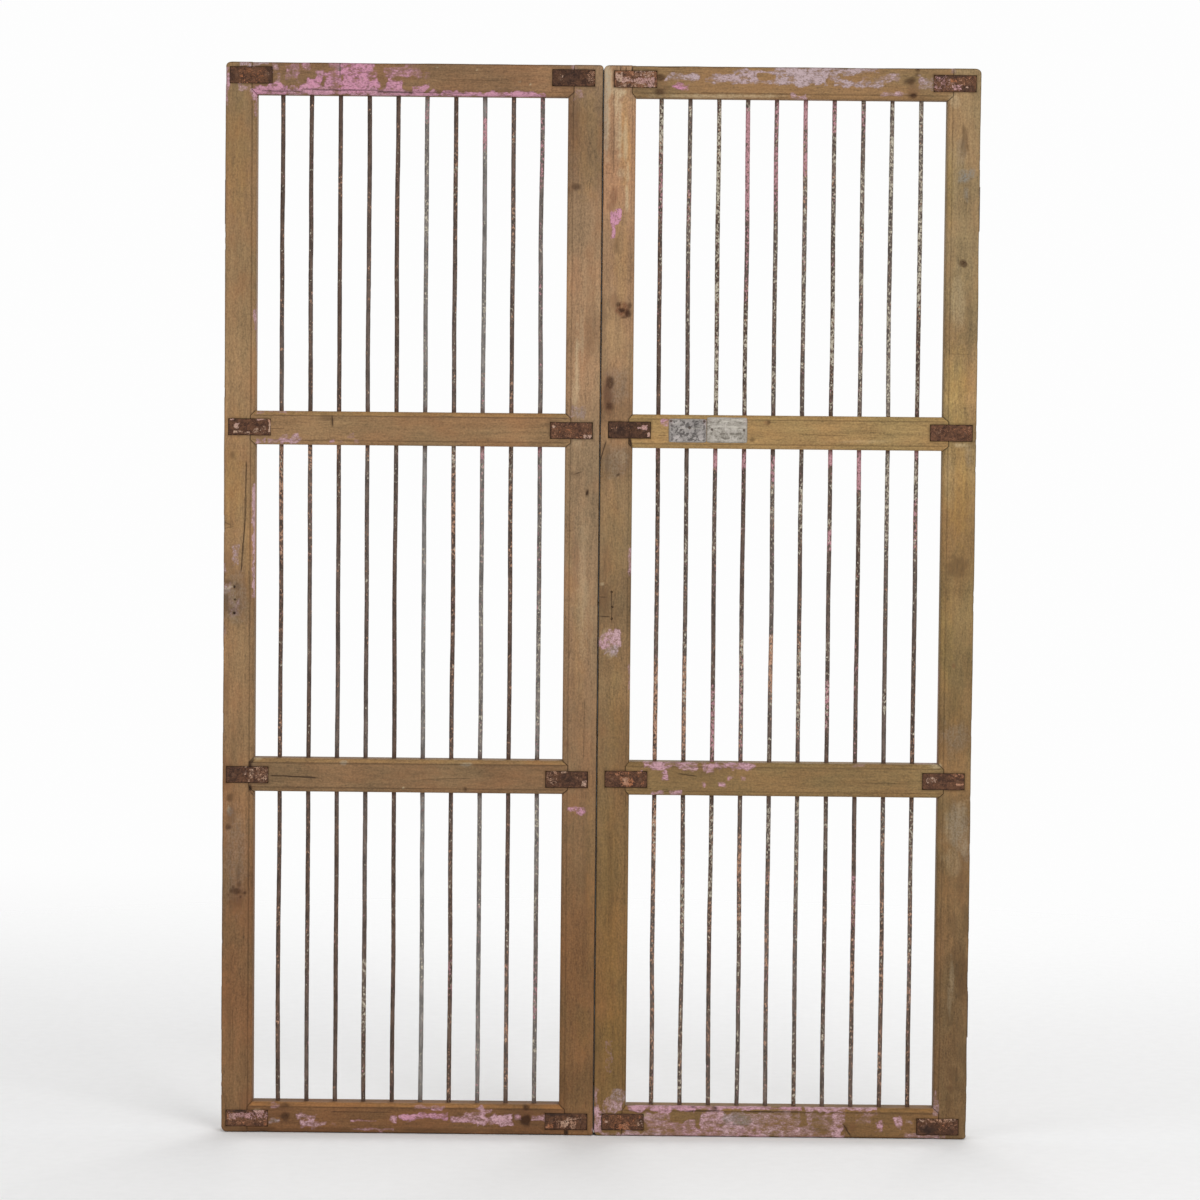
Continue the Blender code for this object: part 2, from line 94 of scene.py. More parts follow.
# --------------------------------------------------------------------------
# Camera: the photograph's viewing angle.  PLAN is the same view with the bend
# and skew of its lens, and serves only to place paint, stains and flakes: they
# are listed in units of a 1200 x 1200 picture.
# --------------------------------------------------------------------------
CAM = {"pos": (0.0284, -7.0, 1.3261), "pitch": 3.212, "yaw": 0.211, "roll": 0.562, "f": 4039.5}
PLAN = {"pos": (0.1046, -7.0, 1.3389), "pitch": 3.315, "yaw": 0.833, "roll": 0.633, "f": 4068.5,
        "bend": -0.00762, "skew": -0.00518}


def view_axes(view):
    p, y, r = (math.radians(view[k]) for k in ("pitch", "yaw", "roll"))
    right0 = np.array([math.cos(y), math.sin(y), 0.0])
    ahead0 = np.array([-math.sin(y), math.cos(y), 0.0])
    z = np.array([0.0, 0.0, 1.0])
    ahead = math.cos(p) * ahead0 - math.sin(p) * z
    up1 = math.sin(p) * ahead0 + math.cos(p) * z
    right = math.cos(r) * right0 + math.sin(r) * up1
    up = -math.sin(r) * right0 + math.cos(r) * up1
    return right, up, ahead


def in_view(points):
    """Where points stand in the 1200 x 1200 view."""
    right, up, ahead = view_axes(PLAN)
    d = points - np.array(PLAN["pos"])
    depth = d @ ahead
    u, v = PLAN["f"] * (d @ right) / depth, -PLAN["f"] * (d @ up) / depth
    bend = 1 + PLAN["bend"] * (u * u + v * v) / 600 ** 2
    return 600 + u * bend, 600 + v * bend + PLAN["skew"] * u * bend


def on_face(u, v):
    """The point of the front face that stands at (u, v) in the view."""
    p = np.array([[(u - 600) / 580, Y_FRONT, (1135 - v) / 577]])
    for _ in range(10):
        a, b = in_view(p)
        p[0, 0] += (u - a[0]) / 581
        p[0, 2] -= (v - b[0]) / 581
    return p[0]


# --------------------------------------------------------------------------
# Noise for the meshes
# --------------------------------------------------------------------------
def hashed(i, j, k, seed):
    n = (i * 73856093) ^ (j * 19349663) ^ (k * 83492791) ^ ((seed * 2654435761) & 0x7FFFFFFF)
    n = n & 0xFFFFFFFF
    n = ((n ^ (n >> 15)) * 2246822519) & 0xFFFFFFFF
    n = ((n ^ (n >> 13)) * 3266489917) & 0xFFFFFFFF
    return ((n ^ (n >> 16)) & 0xFFFFFF) / 0x7FFFFF - 1.0


def noise(points, scale, seed):
    """Smooth noise from -1 to 1; scale is cells per unit along each axis."""
    q = points * np.asarray(scale, float)
    base = np.floor(q)
    i = base.astype(np.int64)
    w = q - base
    w = w * w * (3 - 2 * w)
    total = np.zeros(q.shape[:-1])
    for a in (0, 1):
        wa = w[..., 0] if a else 1 - w[..., 0]
        for b in (0, 1):
            wb = wa * (w[..., 1] if b else 1 - w[..., 1])
            for c in (0, 1):
                wc = wb * (w[..., 2] if c else 1 - w[..., 2])
                total += wc * hashed(i[..., 0] + a, i[..., 1] + b, i[..., 2] + c, seed)
    return total


def fbm(points, scale, seed, octaves=3):
    scale = np.asarray(scale, float)
    total, size = np.zeros(points.shape[:-1]), 0.0
    for o in range(octaves):
        total += noise(points, scale * 2 ** o, seed + 17 * o) * 0.5 ** o
        size += 0.5 ** o
    return total / size


def step(x, a, b):
    t = np.clip((x - a) / (b - a), 0, 1)
    return t * t * (3 - 2 * t)


# --------------------------------------------------------------------------
# Where paint, stains and wear sit, in the view's units
# --------------------------------------------------------------------------
# wood: (x0, y0, x1, y1, amount of paint left, hue: 0 pink, 1 lilac grey)
PAINT = [
    (627.5, 668, 632, 692, 0.62, 0.45),
    # left leaf, top rail
    (342, 62, 369, 95, 0.80, 0.06), (364, 62, 374, 73, 0.70, 0.08), (366, 70, 378, 84, 0.50, 0.10), (364, 80, 379, 95, 0.74, 0.06), (326, 74, 343, 94, 0.62, 0.10), (329, 62, 342, 70, 0.46, 0.2),
    (384, 66, 410, 78, 0.50, 0.15), (386, 80, 403, 93, 0.80, 0.10), (376, 90, 414, 96, 0.62, 0.25),
    (303, 64, 312, 71, 0.66, 0.2), (287, 67, 301, 83, 0.47, 0.25), (317, 72, 326, 78, 0.58, 0.2),
    (309, 79, 323, 91, 0.90, 0.05), (302, 85, 313, 92, 0.70, 0.15),
    (255, 86, 287, 97.4, 0.84, 0.12), (287, 89.5, 303, 96.6, 0.60, 0.3), (300, 89.5, 404, 97.0, 0.78, 0.18),
    (404, 91, 469, 97.4, 0.70, 0.15), (402, 92.2, 546, 97.0, 0.98, 0.12), (469, 92.5, 516, 97.6, 0.72, 0.12), (516, 93, 547, 98, 0.72, 0.10),
    (413, 86, 428, 94, 0.90, 0.1), (405, 64, 423, 79, 0.36, 0.2),
    (424, 74, 432, 80, 0.36, 0.3), (494, 87.5, 562, 89, 0.30, 0.6),
    (241, 62, 252, 69, 0.58, 0.8), (254, 61.5, 269, 67.5, 0.52, 0.8), (274, 64, 281, 74, 0.52, 0.5),
    (226.5, 70, 230.8, 94, 0.66, 0.35), (226.5, 92, 229.5, 108, 0.48, 0.4),
    (241, 86, 254, 94, 0.50, 0.5), (251, 90, 258.5, 103, 0.62, 0.4),
    (255, 100, 259.5, 118, 0.54, 0.4), (277, 76, 282, 87, 0.44, 0.4), (570, 65.5, 580, 69, 0.46, 0.6),
    (575, 89, 583, 98, 0.36, 0.5),
    # left leaf, stiles and upper rail
    (252.5, 310, 256.6, 331, 0.62, 0.45), (251, 485, 254.8, 598, 0.88, 0.50), (566, 808.5, 574, 814.5, 0.58, 0.2), (575, 808, 585, 815, 0.66, 0.15),
    (231, 548, 238, 566, 0.52, 0.75), (218, 564, 225, 576, 0.58, 0.75), (220, 583, 231, 597, 0.40, 0.85), (226, 600, 239, 618, 0.36, 0.75), (218, 612, 224, 640, 0.34, 0.8),
    (267, 409.5, 285, 413.5, 0.62, 0.5), (256, 410, 265, 413.5, 0.50, 0.5), (294, 410, 300, 413, 0.44, 0.5),
    (255, 438.5, 265, 444, 0.70, 0.5), (267, 440, 279, 444, 0.60, 0.5), (279, 438, 291, 444.5, 0.74, 0.45),
    (291, 432, 299, 443, 0.60, 0.5), (282, 434, 288, 439, 0.50, 0.5), (327, 440, 334, 444, 0.56, 0.4),
    (337, 440, 343, 443.5, 0.46, 0.4), (352, 440, 359, 443.5, 0.46, 0.4), (346, 433, 352, 438, 0.38, 0.4),
    (570, 404, 586, 418, 0.38, 0.85),
    # left leaf, bottom rail
    (400, 1113, 446, 1121, 0.66, 0.15), (390, 1113.5, 397, 1121.5, 0.54, 0.3), (448, 1116, 476, 1123, 0.62, 0.35),
    (474, 1115, 513, 1126.5, 0.70, 0.40), (474, 1108.5, 486, 1115, 0.66, 0.4), (483, 1109.5, 491, 1114, 0.60, 0.4),
    (464, 1112, 476, 1120, 0.58, 0.4), (430, 1106.5, 442, 1113, 0.60, 0.3), (412, 1106, 446, 1109.5, 0.44, 0.4),
    (530, 1116.5, 546, 1123, 0.58, 0.4), (514, 1115, 520, 1121, 0.42, 0.3), (297, 1114, 317, 1121, 0.52, 0.45),
    (301, 1119, 314, 1128, 0.54, 0.45), (312, 1122, 326, 1128, 0.44, 0.5), (329, 1121.5, 337, 1126, 0.42, 0.5),
    (350, 1119.8, 376, 1122, 0.50, 0.3), (350, 1128.5, 393, 1130.8, 0.48, 0.4), (377.5, 1129, 383, 1135, 0.5, 0.3),
    (271, 1103, 279, 1108, 0.34, 0.4), (267, 1118, 279, 1123, 0.46, 0.9),
    # right leaf, top rail
    (666.5, 73.5, 698, 80.5, 0.66, 0.90), (706, 75.5, 722, 81.5, 0.52, 0.85), (712, 73, 757, 82, 0.68, 0.85),
    (733, 68.5, 778, 73, 0.58, 0.85), (753, 78.5, 768, 82.5, 0.54, 0.85), (776, 65.5, 828, 84, 0.80, 0.92),
    (768, 77, 780, 83.5, 0.60, 0.9), (822, 66, 879, 74, 0.70, 0.92),
    (834, 77, 852, 86, 0.72, 0.9), (849, 79.5, 884, 86, 0.66, 0.9), (862, 75.5, 882, 80, 0.36, 0.8),
    (878, 72.5, 900, 82, 0.44, 0.8), (790, 93, 808, 99, 0.70, 0.55), (880, 91, 908, 95.5, 0.52, 0.6),
    (672, 82.5, 684, 87, 0.74, 0.0), (682, 84, 690, 89.5, 0.60, 0.05), (919, 76, 931, 89, 0.54, 0.8), (926, 76, 934, 90, 0.56, 0.9),
    (949.5, 66, 955, 74, 0.48, 0.8), (826, 73, 839, 80, 0.46, 0.85),
    # right leaf, meeting stile
    (612, 209, 621, 223, 1.05, 0.10), (611.5, 220, 615, 236, 0.85, 0.12), (600, 632, 611, 650, 0.62, 0.42), (608, 631, 622, 645, 0.76, 0.52), (605, 644, 619, 656, 0.50, 0.85), (598, 636, 605, 647, 0.5, 0.42),
    (628.5, 548, 632, 576, 0.55, 0.5), (627.5, 664, 630.5, 692, 0.62, 0.5), (592, 1106, 599.8, 1134, 0.72, 0.45),
    (593, 1088, 597.5, 1107, 0.44, 0.5), (600, 1101, 622, 1114, 0.46, 0.6), (609, 1091, 626, 1103, 0.41, 0.9),
    (600, 1131.5, 668, 1139, 0.56, 0.6), (604, 1040, 611, 1075, 0.30, 0.6),
    # right leaf, upper and lower rail
    (659, 418, 668.5, 424, 0.56, 0.3), (643, 761, 667, 770, 0.84, 0.35), (664, 762, 682, 769, 0.60, 0.35),
    (679, 763, 699, 771, 0.54, 0.4), (702, 763.5, 714, 774, 0.58, 0.35), (711, 763, 731, 769.5, 0.66, 0.35),
    (727, 762.5, 754, 769.5, 0.62, 0.35), (653, 766, 668, 773, 0.56, 0.35), (661, 773.5, 668.5, 781, 0.74, 0.3),
    (701, 783, 706, 788, 0.62, 0.3), (717, 783, 727, 787, 0.54, 0.3), (650, 792.5, 664, 797, 0.52, 0.4),
    (671, 791, 681, 797, 0.60, 0.4), (728, 776, 734, 781, 0.44, 0.2), (742, 776, 748, 781, 0.40, 0.3),
    (852, 763.5, 868, 768, 0.34, 0.5),
    # right leaf, bottom rail
    (628, 1105, 690, 1112, 0.72, 0.30), (673, 1103, 698, 1110, 0.84, 0.2), (689, 1105, 718, 1110.5, 0.62, 0.3),
    (716, 1104, 771, 1110.5, 0.78, 0.3), (770, 1107, 802, 1110.8, 0.60, 0.2), (804, 1105, 876, 1111, 0.80, 0.4),
    (645, 1113, 668, 1138, 0.44, 0.45), (666, 1122, 694, 1138, 0.48, 0.4), (690, 1128, 720, 1138, 0.56, 0.40),
    (700, 1112, 724, 1138, 0.54, 0.45), (718, 1113, 752, 1130, 0.46, 0.85), (716, 1122, 784, 1138, 0.54, 0.55), (747, 1112, 780, 1126, 0.46, 0.6), (776, 1112, 800, 1138, 0.42, 0.6), (734, 1128, 760, 1138, 0.6, 0.40), (784, 1126, 814, 1138, 0.46, 0.5), (812, 1112, 832, 1138, 0.34, 0.5), (852, 1112, 872, 1124, 0.30, 0.5),
    (804, 1111, 811, 1128, 0.46, 0.5), (831, 1110.5, 843, 1138, 0.62, 0.45),
    (874.5, 1122, 882, 1132, 0.72, 0.3), (893, 1117, 903, 1128, 0.68, 0.4),
    (860, 1110, 877, 1117, 0.42, 0.5), (902, 1132, 944, 1138, 0.44, 0.5),
    (931, 1090, 937.5, 1113, 0.50, 0.6), (905, 1117, 912, 1123, 0.46, 0.9),
]
# wood: dark stains, knots and plugs (x, y, rx, ry, amount)
DARK = [
    (660, 77, 5.4, 5.0, 0.80), (659, 91, 5.2, 4.4, 0.80), (918, 69, 2.6, 2.6, 0.85), (917.5, 74, 2.4, 2.0, 0.6),
    (911, 80, 6.0, 4.6, 0.85), (914, 94.5, 5.4, 3.8, 0.85), (284.7, 1105.5, 5.5, 3.4, 0.50),
    (525, 1108, 3.6, 3.4, 0.85), (284.5, 1117.3, 5.4, 4.8, 0.95), (525, 1121, 6.0, 5.4, 1.05),
    (224, 603, 5.0, 14.0, 0.40), (221, 576, 3.6, 12.0, 0.62), (231, 613, 6.0, 4.6, 0.50), (236, 588, 4.0, 5.0, 0.30), (237, 604, 4.0, 9.0, 0.22), (221, 628, 3.6, 10.0, 0.42), (226, 583, 6.0, 3.0, 0.40),
    (229, 800, 4.5, 5.0, 0.55), (227, 829, 4.0, 4.0, 0.65), (230, 815, 6.0, 12.0, 0.30), (235, 893, 6.4, 4.2, 0.74), (230.5, 893, 2.4, 2.4, 0.75), (243.5, 894.5, 1.7, 1.7, 0.9), (238, 886, 2.6, 3.4, 0.55), (236, 903, 8.0, 6.0, 0.18), (237, 874, 2.4, 9.0, 0.30), (232, 888.5, 1.7, 1.6, 0.7), (239.5, 898.5, 1.9, 1.7, 0.7), (227.5, 896.5, 1.7, 1.5, 0.6),
    (225, 690, 3.4, 26.0, 0.26), (231, 456, 3.0, 4.0, 0.4), (228, 524, 7.0, 3.0, 0.25), (630, 571, 1.8, 5.0, 0.85), (630.5, 609, 1.3, 5.0, 0.6),
    (576.5, 185.5, 5.8, 4.8, 0.62), (569, 190, 4.0, 4.0, 0.3), (587, 492, 2.6, 4.2, 0.62), (574, 473, 8.0, 3.0, 0.30),
    (618.5, 303, 3.2, 2.8, 0.85), (622, 309, 4.4, 2.4, 0.85), (628, 312, 3.6, 4.6, 0.80), (630, 304, 2.2, 3.0, 0.6), (624, 316, 4.0, 1.8, 0.6), (617, 243, 3.5, 9.0, 0.34), (612.6, 146, 2.6, 26.0, 0.12), (612, 112, 2.0, 16.0, 0.12),
    (610, 381, 5.5, 8.5, 0.72), (609, 405, 5.0, 5.6, 0.72), (608, 393, 5.0, 22.0, 0.38), (603, 330, 4.0, 50.0, 0.22),
    (604, 602, 7.5, 20.0, 0.26), (607, 455, 2.6, 16.0, 0.25), (964.5, 262, 4.6, 4.4, 0.92),
    (959, 566, 13.0, 14.0, 0.36), (965, 143, 4.0, 13.0, 0.36), (964, 128, 2.0, 7.0, 0.35), (962, 975, 8.0, 30.0, 0.40), (953, 1075, 7.0, 14.0, 0.34), (950, 1088, 5.0, 7.0, 0.40), (966, 920, 5.0, 24.0, 0.26), (948, 1010, 4.0, 26.0, 0.26), (966, 1060, 5.0, 20.0, 0.30), (956, 1085, 8.0, 6.0, 0.30), (962, 880, 5.0, 30.0, 0.20), (956, 700, 8.0, 20.0, 0.16), (956, 960, 9.0, 20.0, 0.30), (953, 925, 6.0, 14.0, 0.22),
    (948, 1100, 5.0, 8.0, 0.32), (615, 77, 1.4, 10.0, 0.85), (958, 1040, 10.0, 28.0, 0.22),
    (331, 421, 2.0, 6.0, 0.60), (464, 791, 2.2, 3.0, 0.60), (326, 418, 10.0, 5.0, 0.36), (549, 424, 5.0, 9.0, 0.26),
    (770, 421, 1.9, 2.6, 0.62), (753, 438.5, 3.5, 2.5, 0.60), 
    (845, 1128, 3.5, 4.5, 0.40), (240, 772, 9.0, 3.0, 0.15), (232, 760, 3.0, 50.0, 0.18),
    (970, 330, 4.0, 60.0, 0.14), (610, 880, 4.0, 90.0, 0.16), (584, 900, 4.0, 120.0, 0.14), (228, 1030, 4.0, 70.0, 0.16),
    (320, 1130, 70.0, 2.4, 0.30), (254, 1129, 30.0, 4.0, 0.45), (440, 1131, 60.0, 2.8, 0.28),
    (556, 1130, 12.0, 3.0, 0.35), (248.8, 767.0, 1.5, 4.4, 0.95), (248.7, 789.5, 1.7, 4.0, 0.95), (630, 441, 1.8, 5.0, 0.90),
    (243, 1060, 4.0, 40.0, 0.18), (731, 1118, 14.0, 5.0, 0.22), (590, 300, 6.0, 70.0, 0.16), (575, 120, 6.0, 30.0, 0.20),
]
# wood: worn, bleached or chalky places (x, y, rx, ry, amount)
PALE = [
    (606.6, 112, 3.6, 54.0, 0.56), (607.5, 75, 4.4, 14.0, 0.62), (609.5, 82, 3.4, 20.0, 0.62), (616.5, 128, 2.6, 24.0, 0.40), (619, 92, 7.0, 7.0, 0.85), (617, 104, 3.0, 14.0, 0.7), (620, 125, 2.4, 34.0, 0.62),
    (627, 195, 2.0, 18.0, 0.60), (626, 140, 2.6, 30.0, 0.50), (622, 172, 5.0, 5.0, 0.45), (628, 170, 2.0, 14.0, 0.5),
    (577, 370, 3.0, 40.0, 0.42), (582, 335, 2.4, 30.0, 0.25), (574, 395, 3.0, 18.0, 0.35),
    (226, 590, 4.2, 1.5, 0.95), (223.5, 594, 2.6, 1.2, 0.85), (229, 588, 2.4, 1.0, 0.8), (227.5, 811, 1.6, 5.0, 0.7), (938, 766, 6.5, 3.2, 0.60),
    (342, 764, 4.0, 2.0, 0.45), (256, 760, 5.5, 1.8, 0.62), (465, 765.5, 7.0, 1.8, 0.40), (961, 443, 8.0, 3.4, 0.45),
    (955, 100, 7.0, 9.0, 0.30), (960, 300, 8.0, 34.0, 0.22), (622, 455, 7.0, 10.0, 0.16), (578, 440, 6.0, 10.0, 0.20),
    (258, 1110.5, 6.0, 1.6, 0.4), (728, 95, 75.0, 2.4, 0.50), (790, 448, 60.0, 1.4, 0.2), (860, 440, 45.0, 1.4, 0.2),
    (645, 1116, 5.0, 3.0, 0.35), (582, 600, 6.0, 80.0, 0.18), (602, 584, 4.0, 1.2, 0.5), (605, 640, 5.0, 14.0, 0.22),
    (610, 655, 5.0, 5.0, 0.35), (952, 480, 6.0, 30.0, 0.14), (952, 978, 2.6, 24.0, 0.22), (949, 1000, 2.4, 18.0, 0.22), (956, 826, 13.0, 26.0, 0.20), (962, 812, 7.0, 14.0, 0.22), (954, 862, 10.0, 18.0, 0.16), (964, 846, 5.0, 12.0, 0.20), (477.5, 70, 1.2, 1.2, 0.8), (520, 82, 1.2, 1.2, 0.7),
    (531, 84, 1.2, 1.2, 0.7), (437.5, 68, 1.4, 1.2, 0.7), (402, 789.5, 1.4, 1.2, 0.7), (731, 778, 1.4, 1.4, 0.6),
]
# wood: red-brown stains (x, y, rx, ry, amount)
RUSTY = [
    (614, 195, 5.0, 10.0, 0.55), (611, 205, 4.0, 8.0, 0.40), (623, 308, 8.5, 8.5, 0.80), (615, 300, 5.0, 9.0, 0.30),
    (608, 392, 5.5, 25.0, 0.46), (236, 900, 9.0, 18.0, 0.26), (226, 560, 6.0, 12.0, 0.30), (575, 560, 5.0, 30.0, 0.22),
    (226, 775, 5.0, 20.0, 0.30), (280, 1112, 14.0, 6.0, 0.20), (525, 1114, 9.0, 9.0, 0.30), (852, 1126, 5.0, 6.0, 0.35),
    (840, 1128, 3.0, 5.0, 0.35), (768, 421, 4.0, 3.0, 0.4), (606, 560, 5.0, 20.0, 0.2), (620, 84, 4.0, 5.0, 0.4),
    (664, 86, 6.0, 10.0, 0.25), (914, 88, 7.0, 9.0, 0.28), (955, 665, 2.0, 3.0, 0.5), (576, 280, 5.0, 30.0, 0.18),
    (245, 1100, 8.0, 12.0, 0.25), (570, 1124, 10.0, 8.0, 0.30), (612, 985, 3.0, 6.0, 0.25), (566, 745, 3.0, 4.0, 0.3),
]
# wood: blue-grey smears (x, y, rx, ry, amount)
SMEAR = [
    (608, 82, 3.6, 20.0, 0.40), (607, 118, 3.0, 30.0, 0.22),
    (966, 176, 4.0, 7.0, 0.75), (972, 172, 4.5, 5.0, 0.65), (961, 178, 3.0, 4.0, 0.6), (967, 192, 3.0, 8.0, 0.45),
    (962, 150, 6.0, 14.0, 0.22), (342, 764.5, 4.0, 2.6, 0.5), (465, 766, 6.0, 2.0, 0.45), (340.5, 70, 2.4, 8.0, 0.75),
    (274, 1120.5, 5.5, 1.6, 0.6), (735, 1120, 19.0, 7.0, 0.62), (605, 95, 1.6, 40.0, 0.3), (226, 599, 5.0, 9.0, 0.30), (229, 814, 4.0, 6.0, 0.45), (226, 591, 5.0, 2.4, 0.6), (966, 172, 8.0, 5.0, 0.5), (958, 825, 11.0, 26.0, 0.26), (966, 850, 5.0, 16.0, 0.22), (606, 120, 3.0, 50.0, 0.35),
    (252, 772, 4.0, 8.0, 0.15), (580, 412, 7.0, 6.0, 0.30), (970, 455, 4.0, 16.0, 0.2), (613, 651, 4.0, 5.0, 0.5), (234, 600, 13.0, 30.0, 0.26),
    (234, 855, 13.0, 60.0, 0.20), (616, 385, 14.0, 24.0, 0.20), (616, 460, 14.0, 20.0, 0.20), (957, 737, 16.0, 18.0, 0.24),
]
# golden, better oiled places (x, y, rx, ry, amount)
GOLD = [
    (588, 142, 16.0, 62.0, 0.62),
    (238, 160, 13.0, 66.0, 0.55), (232, 490, 13.0, 50.0, 0.60), (236, 424, 12.0, 20.0, 0.3), (246, 540, 4.0, 60.0, 0.3),
    (590, 880, 6.0, 120.0, 0.45), (578, 650, 8.0, 90.0, 0.35), (582, 1030, 9.0, 30.0, 0.35), (570, 560, 4.0, 60.0, 0.3),
    (626, 140, 6.0, 60.0, 0.80), (622, 260, 9.0, 60.0, 0.55), (616, 330, 12.0, 40.0, 0.30), (614, 540, 12.0, 56.0, 0.30),
    (616, 705, 10.0, 56.0, 0.45), (610, 900, 12.0, 130.0, 0.35), (612, 1040, 12.0, 44.0, 0.50),
    (958, 395, 16.0, 64.0, 0.80), (960, 490, 14.0, 60.0, 0.70), (948, 640, 8.0, 70.0, 0.50), (951, 190, 4.0, 46.0, 0.50),
    (955, 720, 12.0, 40.0, 0.25), (946, 900, 5.0, 40.0, 0.25),
]
# broad darker and lighter stretches of a piece (middle and half length along it, change)
DRIFT = {
    "left_hanging_stile": [(130, 50, -0.10), (360, 26, 0.10), (462, 16, -0.09), (600, 28, -0.20), (812, 14, 0.08),
                           (895, 34, -0.08), (1062, 42, 0.16)],
    "left_meeting_stile": [(138, 56, -0.30), (284, 30, 0.24), (378, 26, 0.20), (1086, 20, -0.14)],
    "right_meeting_stile": [(110, 14, 0.14), (250, 36, -0.15), (308, 16, -0.13), (392, 22, -0.20), (462, 18, -0.26), (414, 13, -0.16),
                            (598, 30, -0.17), (690, 18, 0.20), (1060, 40, -0.10)],
    "right_hanging_stile": [(190, 26, -0.09), (375, 34, 0.28), (462, 20, 0.36), (408, 16, 0.34), (492, 18, 0.14), (610, 16, 0.16),
                            (735, 20, -0.15), (815, 20, -0.15), (930, 34, 0.19), (1035, 12, 0.12)],
    "left_top_rail": [(548, 18, 0.26)], "right_top_rail": [(922, 16, -0.15)],
    "left_upper_rail": [(325, 30, 0.11), (415, 34, -0.07), (512, 18, 0.10)],
    "left_lower_rail": [(335, 20, 0.14), (440, 14, 0.08), (490, 14, -0.08)],
    "right_lower_rail": [(700, 40, -0.10), (925, 14, 0.16)],
    "left_bottom_rail": [(400, 60, -0.10), (520, 30, -0.20)], "right_bottom_rail": [(790, 170, -0.10)],
}
# rails whose upper moulding gets a painted highlight, lighter where light falls on its upward face
UPPER_MOULDING_HIGHLIGHT = {"left_lower_rail": 0.22, "left_bottom_rail": 0.40, "left_upper_rail": 0.06, "right_bottom_rail": 0.10}
# fine cracks and scribed lines on a piece (x0, y0, x1, y1, half width, amount)
CRACKS = {
    "left_hanging_stile": [(245.2, 462, 244.2, 520, 0.40, 0.80), (244.2, 518, 239.6, 573, 0.40, 0.85),
                           (243.2, 498, 242.4, 556, 0.30, 0.50), (232, 1010, 233, 1070, 0.3, 0.4),
                           (252.7, 760.6, 248.7, 765.6, 0.7, 0.90), (248.6, 764.5, 248.4, 771.5, 0.8, 0.95),
                           (248.4, 786, 248.8, 793.5, 0.9, 0.95), (248.8, 793, 252, 797.5, 0.5, 0.70),
                           (221, 522, 231, 527, 0.4, 0.4), (221, 530, 232, 527.5, 0.35, 0.35)],
    "left_meeting_stile": [(587.6, 489, 586, 496, 0.7, 0.95), (573, 474, 583, 470.5, 0.4, 0.45),
                           (584, 700, 583, 760, 0.3, 0.4), (565.4, 1129, 565.4, 1137, 1.2, 1.0)],
    "right_meeting_stile": [(606, 440, 598.5, 464, 0.40, 0.75), (616.4, 475.2, 620, 472.8, 0.8, 1.0),
                            (598.5, 616.4, 610.5, 617, 0.40, 0.75), (598.5, 597, 606, 597.4, 0.35, 0.55),
                            (611.2, 590, 611.6, 623, 0.40, 0.60), (621, 65.5, 621, 72, 0.4, 0.8),
                            (626.6, 65.5, 626.6, 71, 0.4, 0.7), (632.6, 66, 632.6, 73, 0.4, 0.8),
                            (614.6, 88, 613.8, 172, 0.35, 0.34), (604, 172, 614, 172, 0.4, 0.28),
                            (629.4, 436, 632, 446.5, 0.7, 0.95)],
    "right_hanging_stile": [(965, 126, 961, 154, 0.9, 0.22), (965, 126, 969.5, 154, 0.9, 0.22),
                            (946, 352, 972, 352.4, 0.35, 0.25)],
    "left_lower_rail": [(268, 776.8, 316, 779.6, 0.45, 0.85), (420, 781, 470, 780, 0.3, 0.4),
                        (252.7, 760.6, 248.7, 765.6, 0.7, 0.90), (248.6, 764.5, 248.4, 771.5, 0.8, 0.95),
                           (248.4, 786, 248.8, 793.5, 0.9, 0.95), (248.8, 793, 252, 797.5, 0.5, 0.70)],
    "left_upper_rail": [(331, 415, 331.4, 427, 0.40, 0.80), (268, 429, 284, 429.4, 0.3, 0.5)],
    "right_lower_rail": [(678, 774.6, 697, 777.2, 0.45, 0.7), (860, 783, 905, 784, 0.3, 0.4)],
    "right_upper_rail": [(658, 434, 668, 434.4, 0.35, 0.5), (800, 433, 850, 434, 0.3, 0.4), (629.4, 436, 632, 446.5, 0.7, 0.95)],
    "right_bottom_rail": [(842, 1123, 850, 1136, 0.5, 0.75), (715, 1124, 750, 1125, 0.3, 0.4),
                          (686, 1111.4, 719, 1111.0, 0.55, 0.65), (690, 1107.4, 694.5, 1107.6, 0.8, 0.8), (711, 1108.4, 717.5, 1108.8, 0.9, 0.75),
                          (745, 1111.6, 800, 1111.8, 0.4, 0.5)],
    "left_bottom_rail": [(330, 1112, 392, 1113, 0.3, 0.5), (565.4, 1129, 565.4, 1137, 1.2, 1.0)],
    "right_top_rail": [(700, 91.6, 796, 92.6, 0.3, 0.35), (664, 71, 704, 71.6, 0.3, 0.35)],
    "left_top_rail": [(440, 80, 500, 80.6, 0.3, 0.35), (262, 92.8, 305, 93.2, 0.42, 0.60), (303, 91.0, 379, 91.2, 0.38, 0.60),
                      (377, 92.6, 415, 93.2, 0.60, 0.75), (415, 93.0, 470, 93.4, 0.40, 0.50), (340.5, 63, 341, 78, 0.5, 0.5)],
}
# old fixing holes in a piece (x, y, radius)
HOLES = {
    "left_hanging_stile": [(233, 588, 1.2), (233.6, 601, 1.0), (233, 614.4, 1.3)],
    "right_meeting_stile": [(611.4, 592, 1.1), (612, 607, 1.1), (611.4, 619, 1.1)],
}
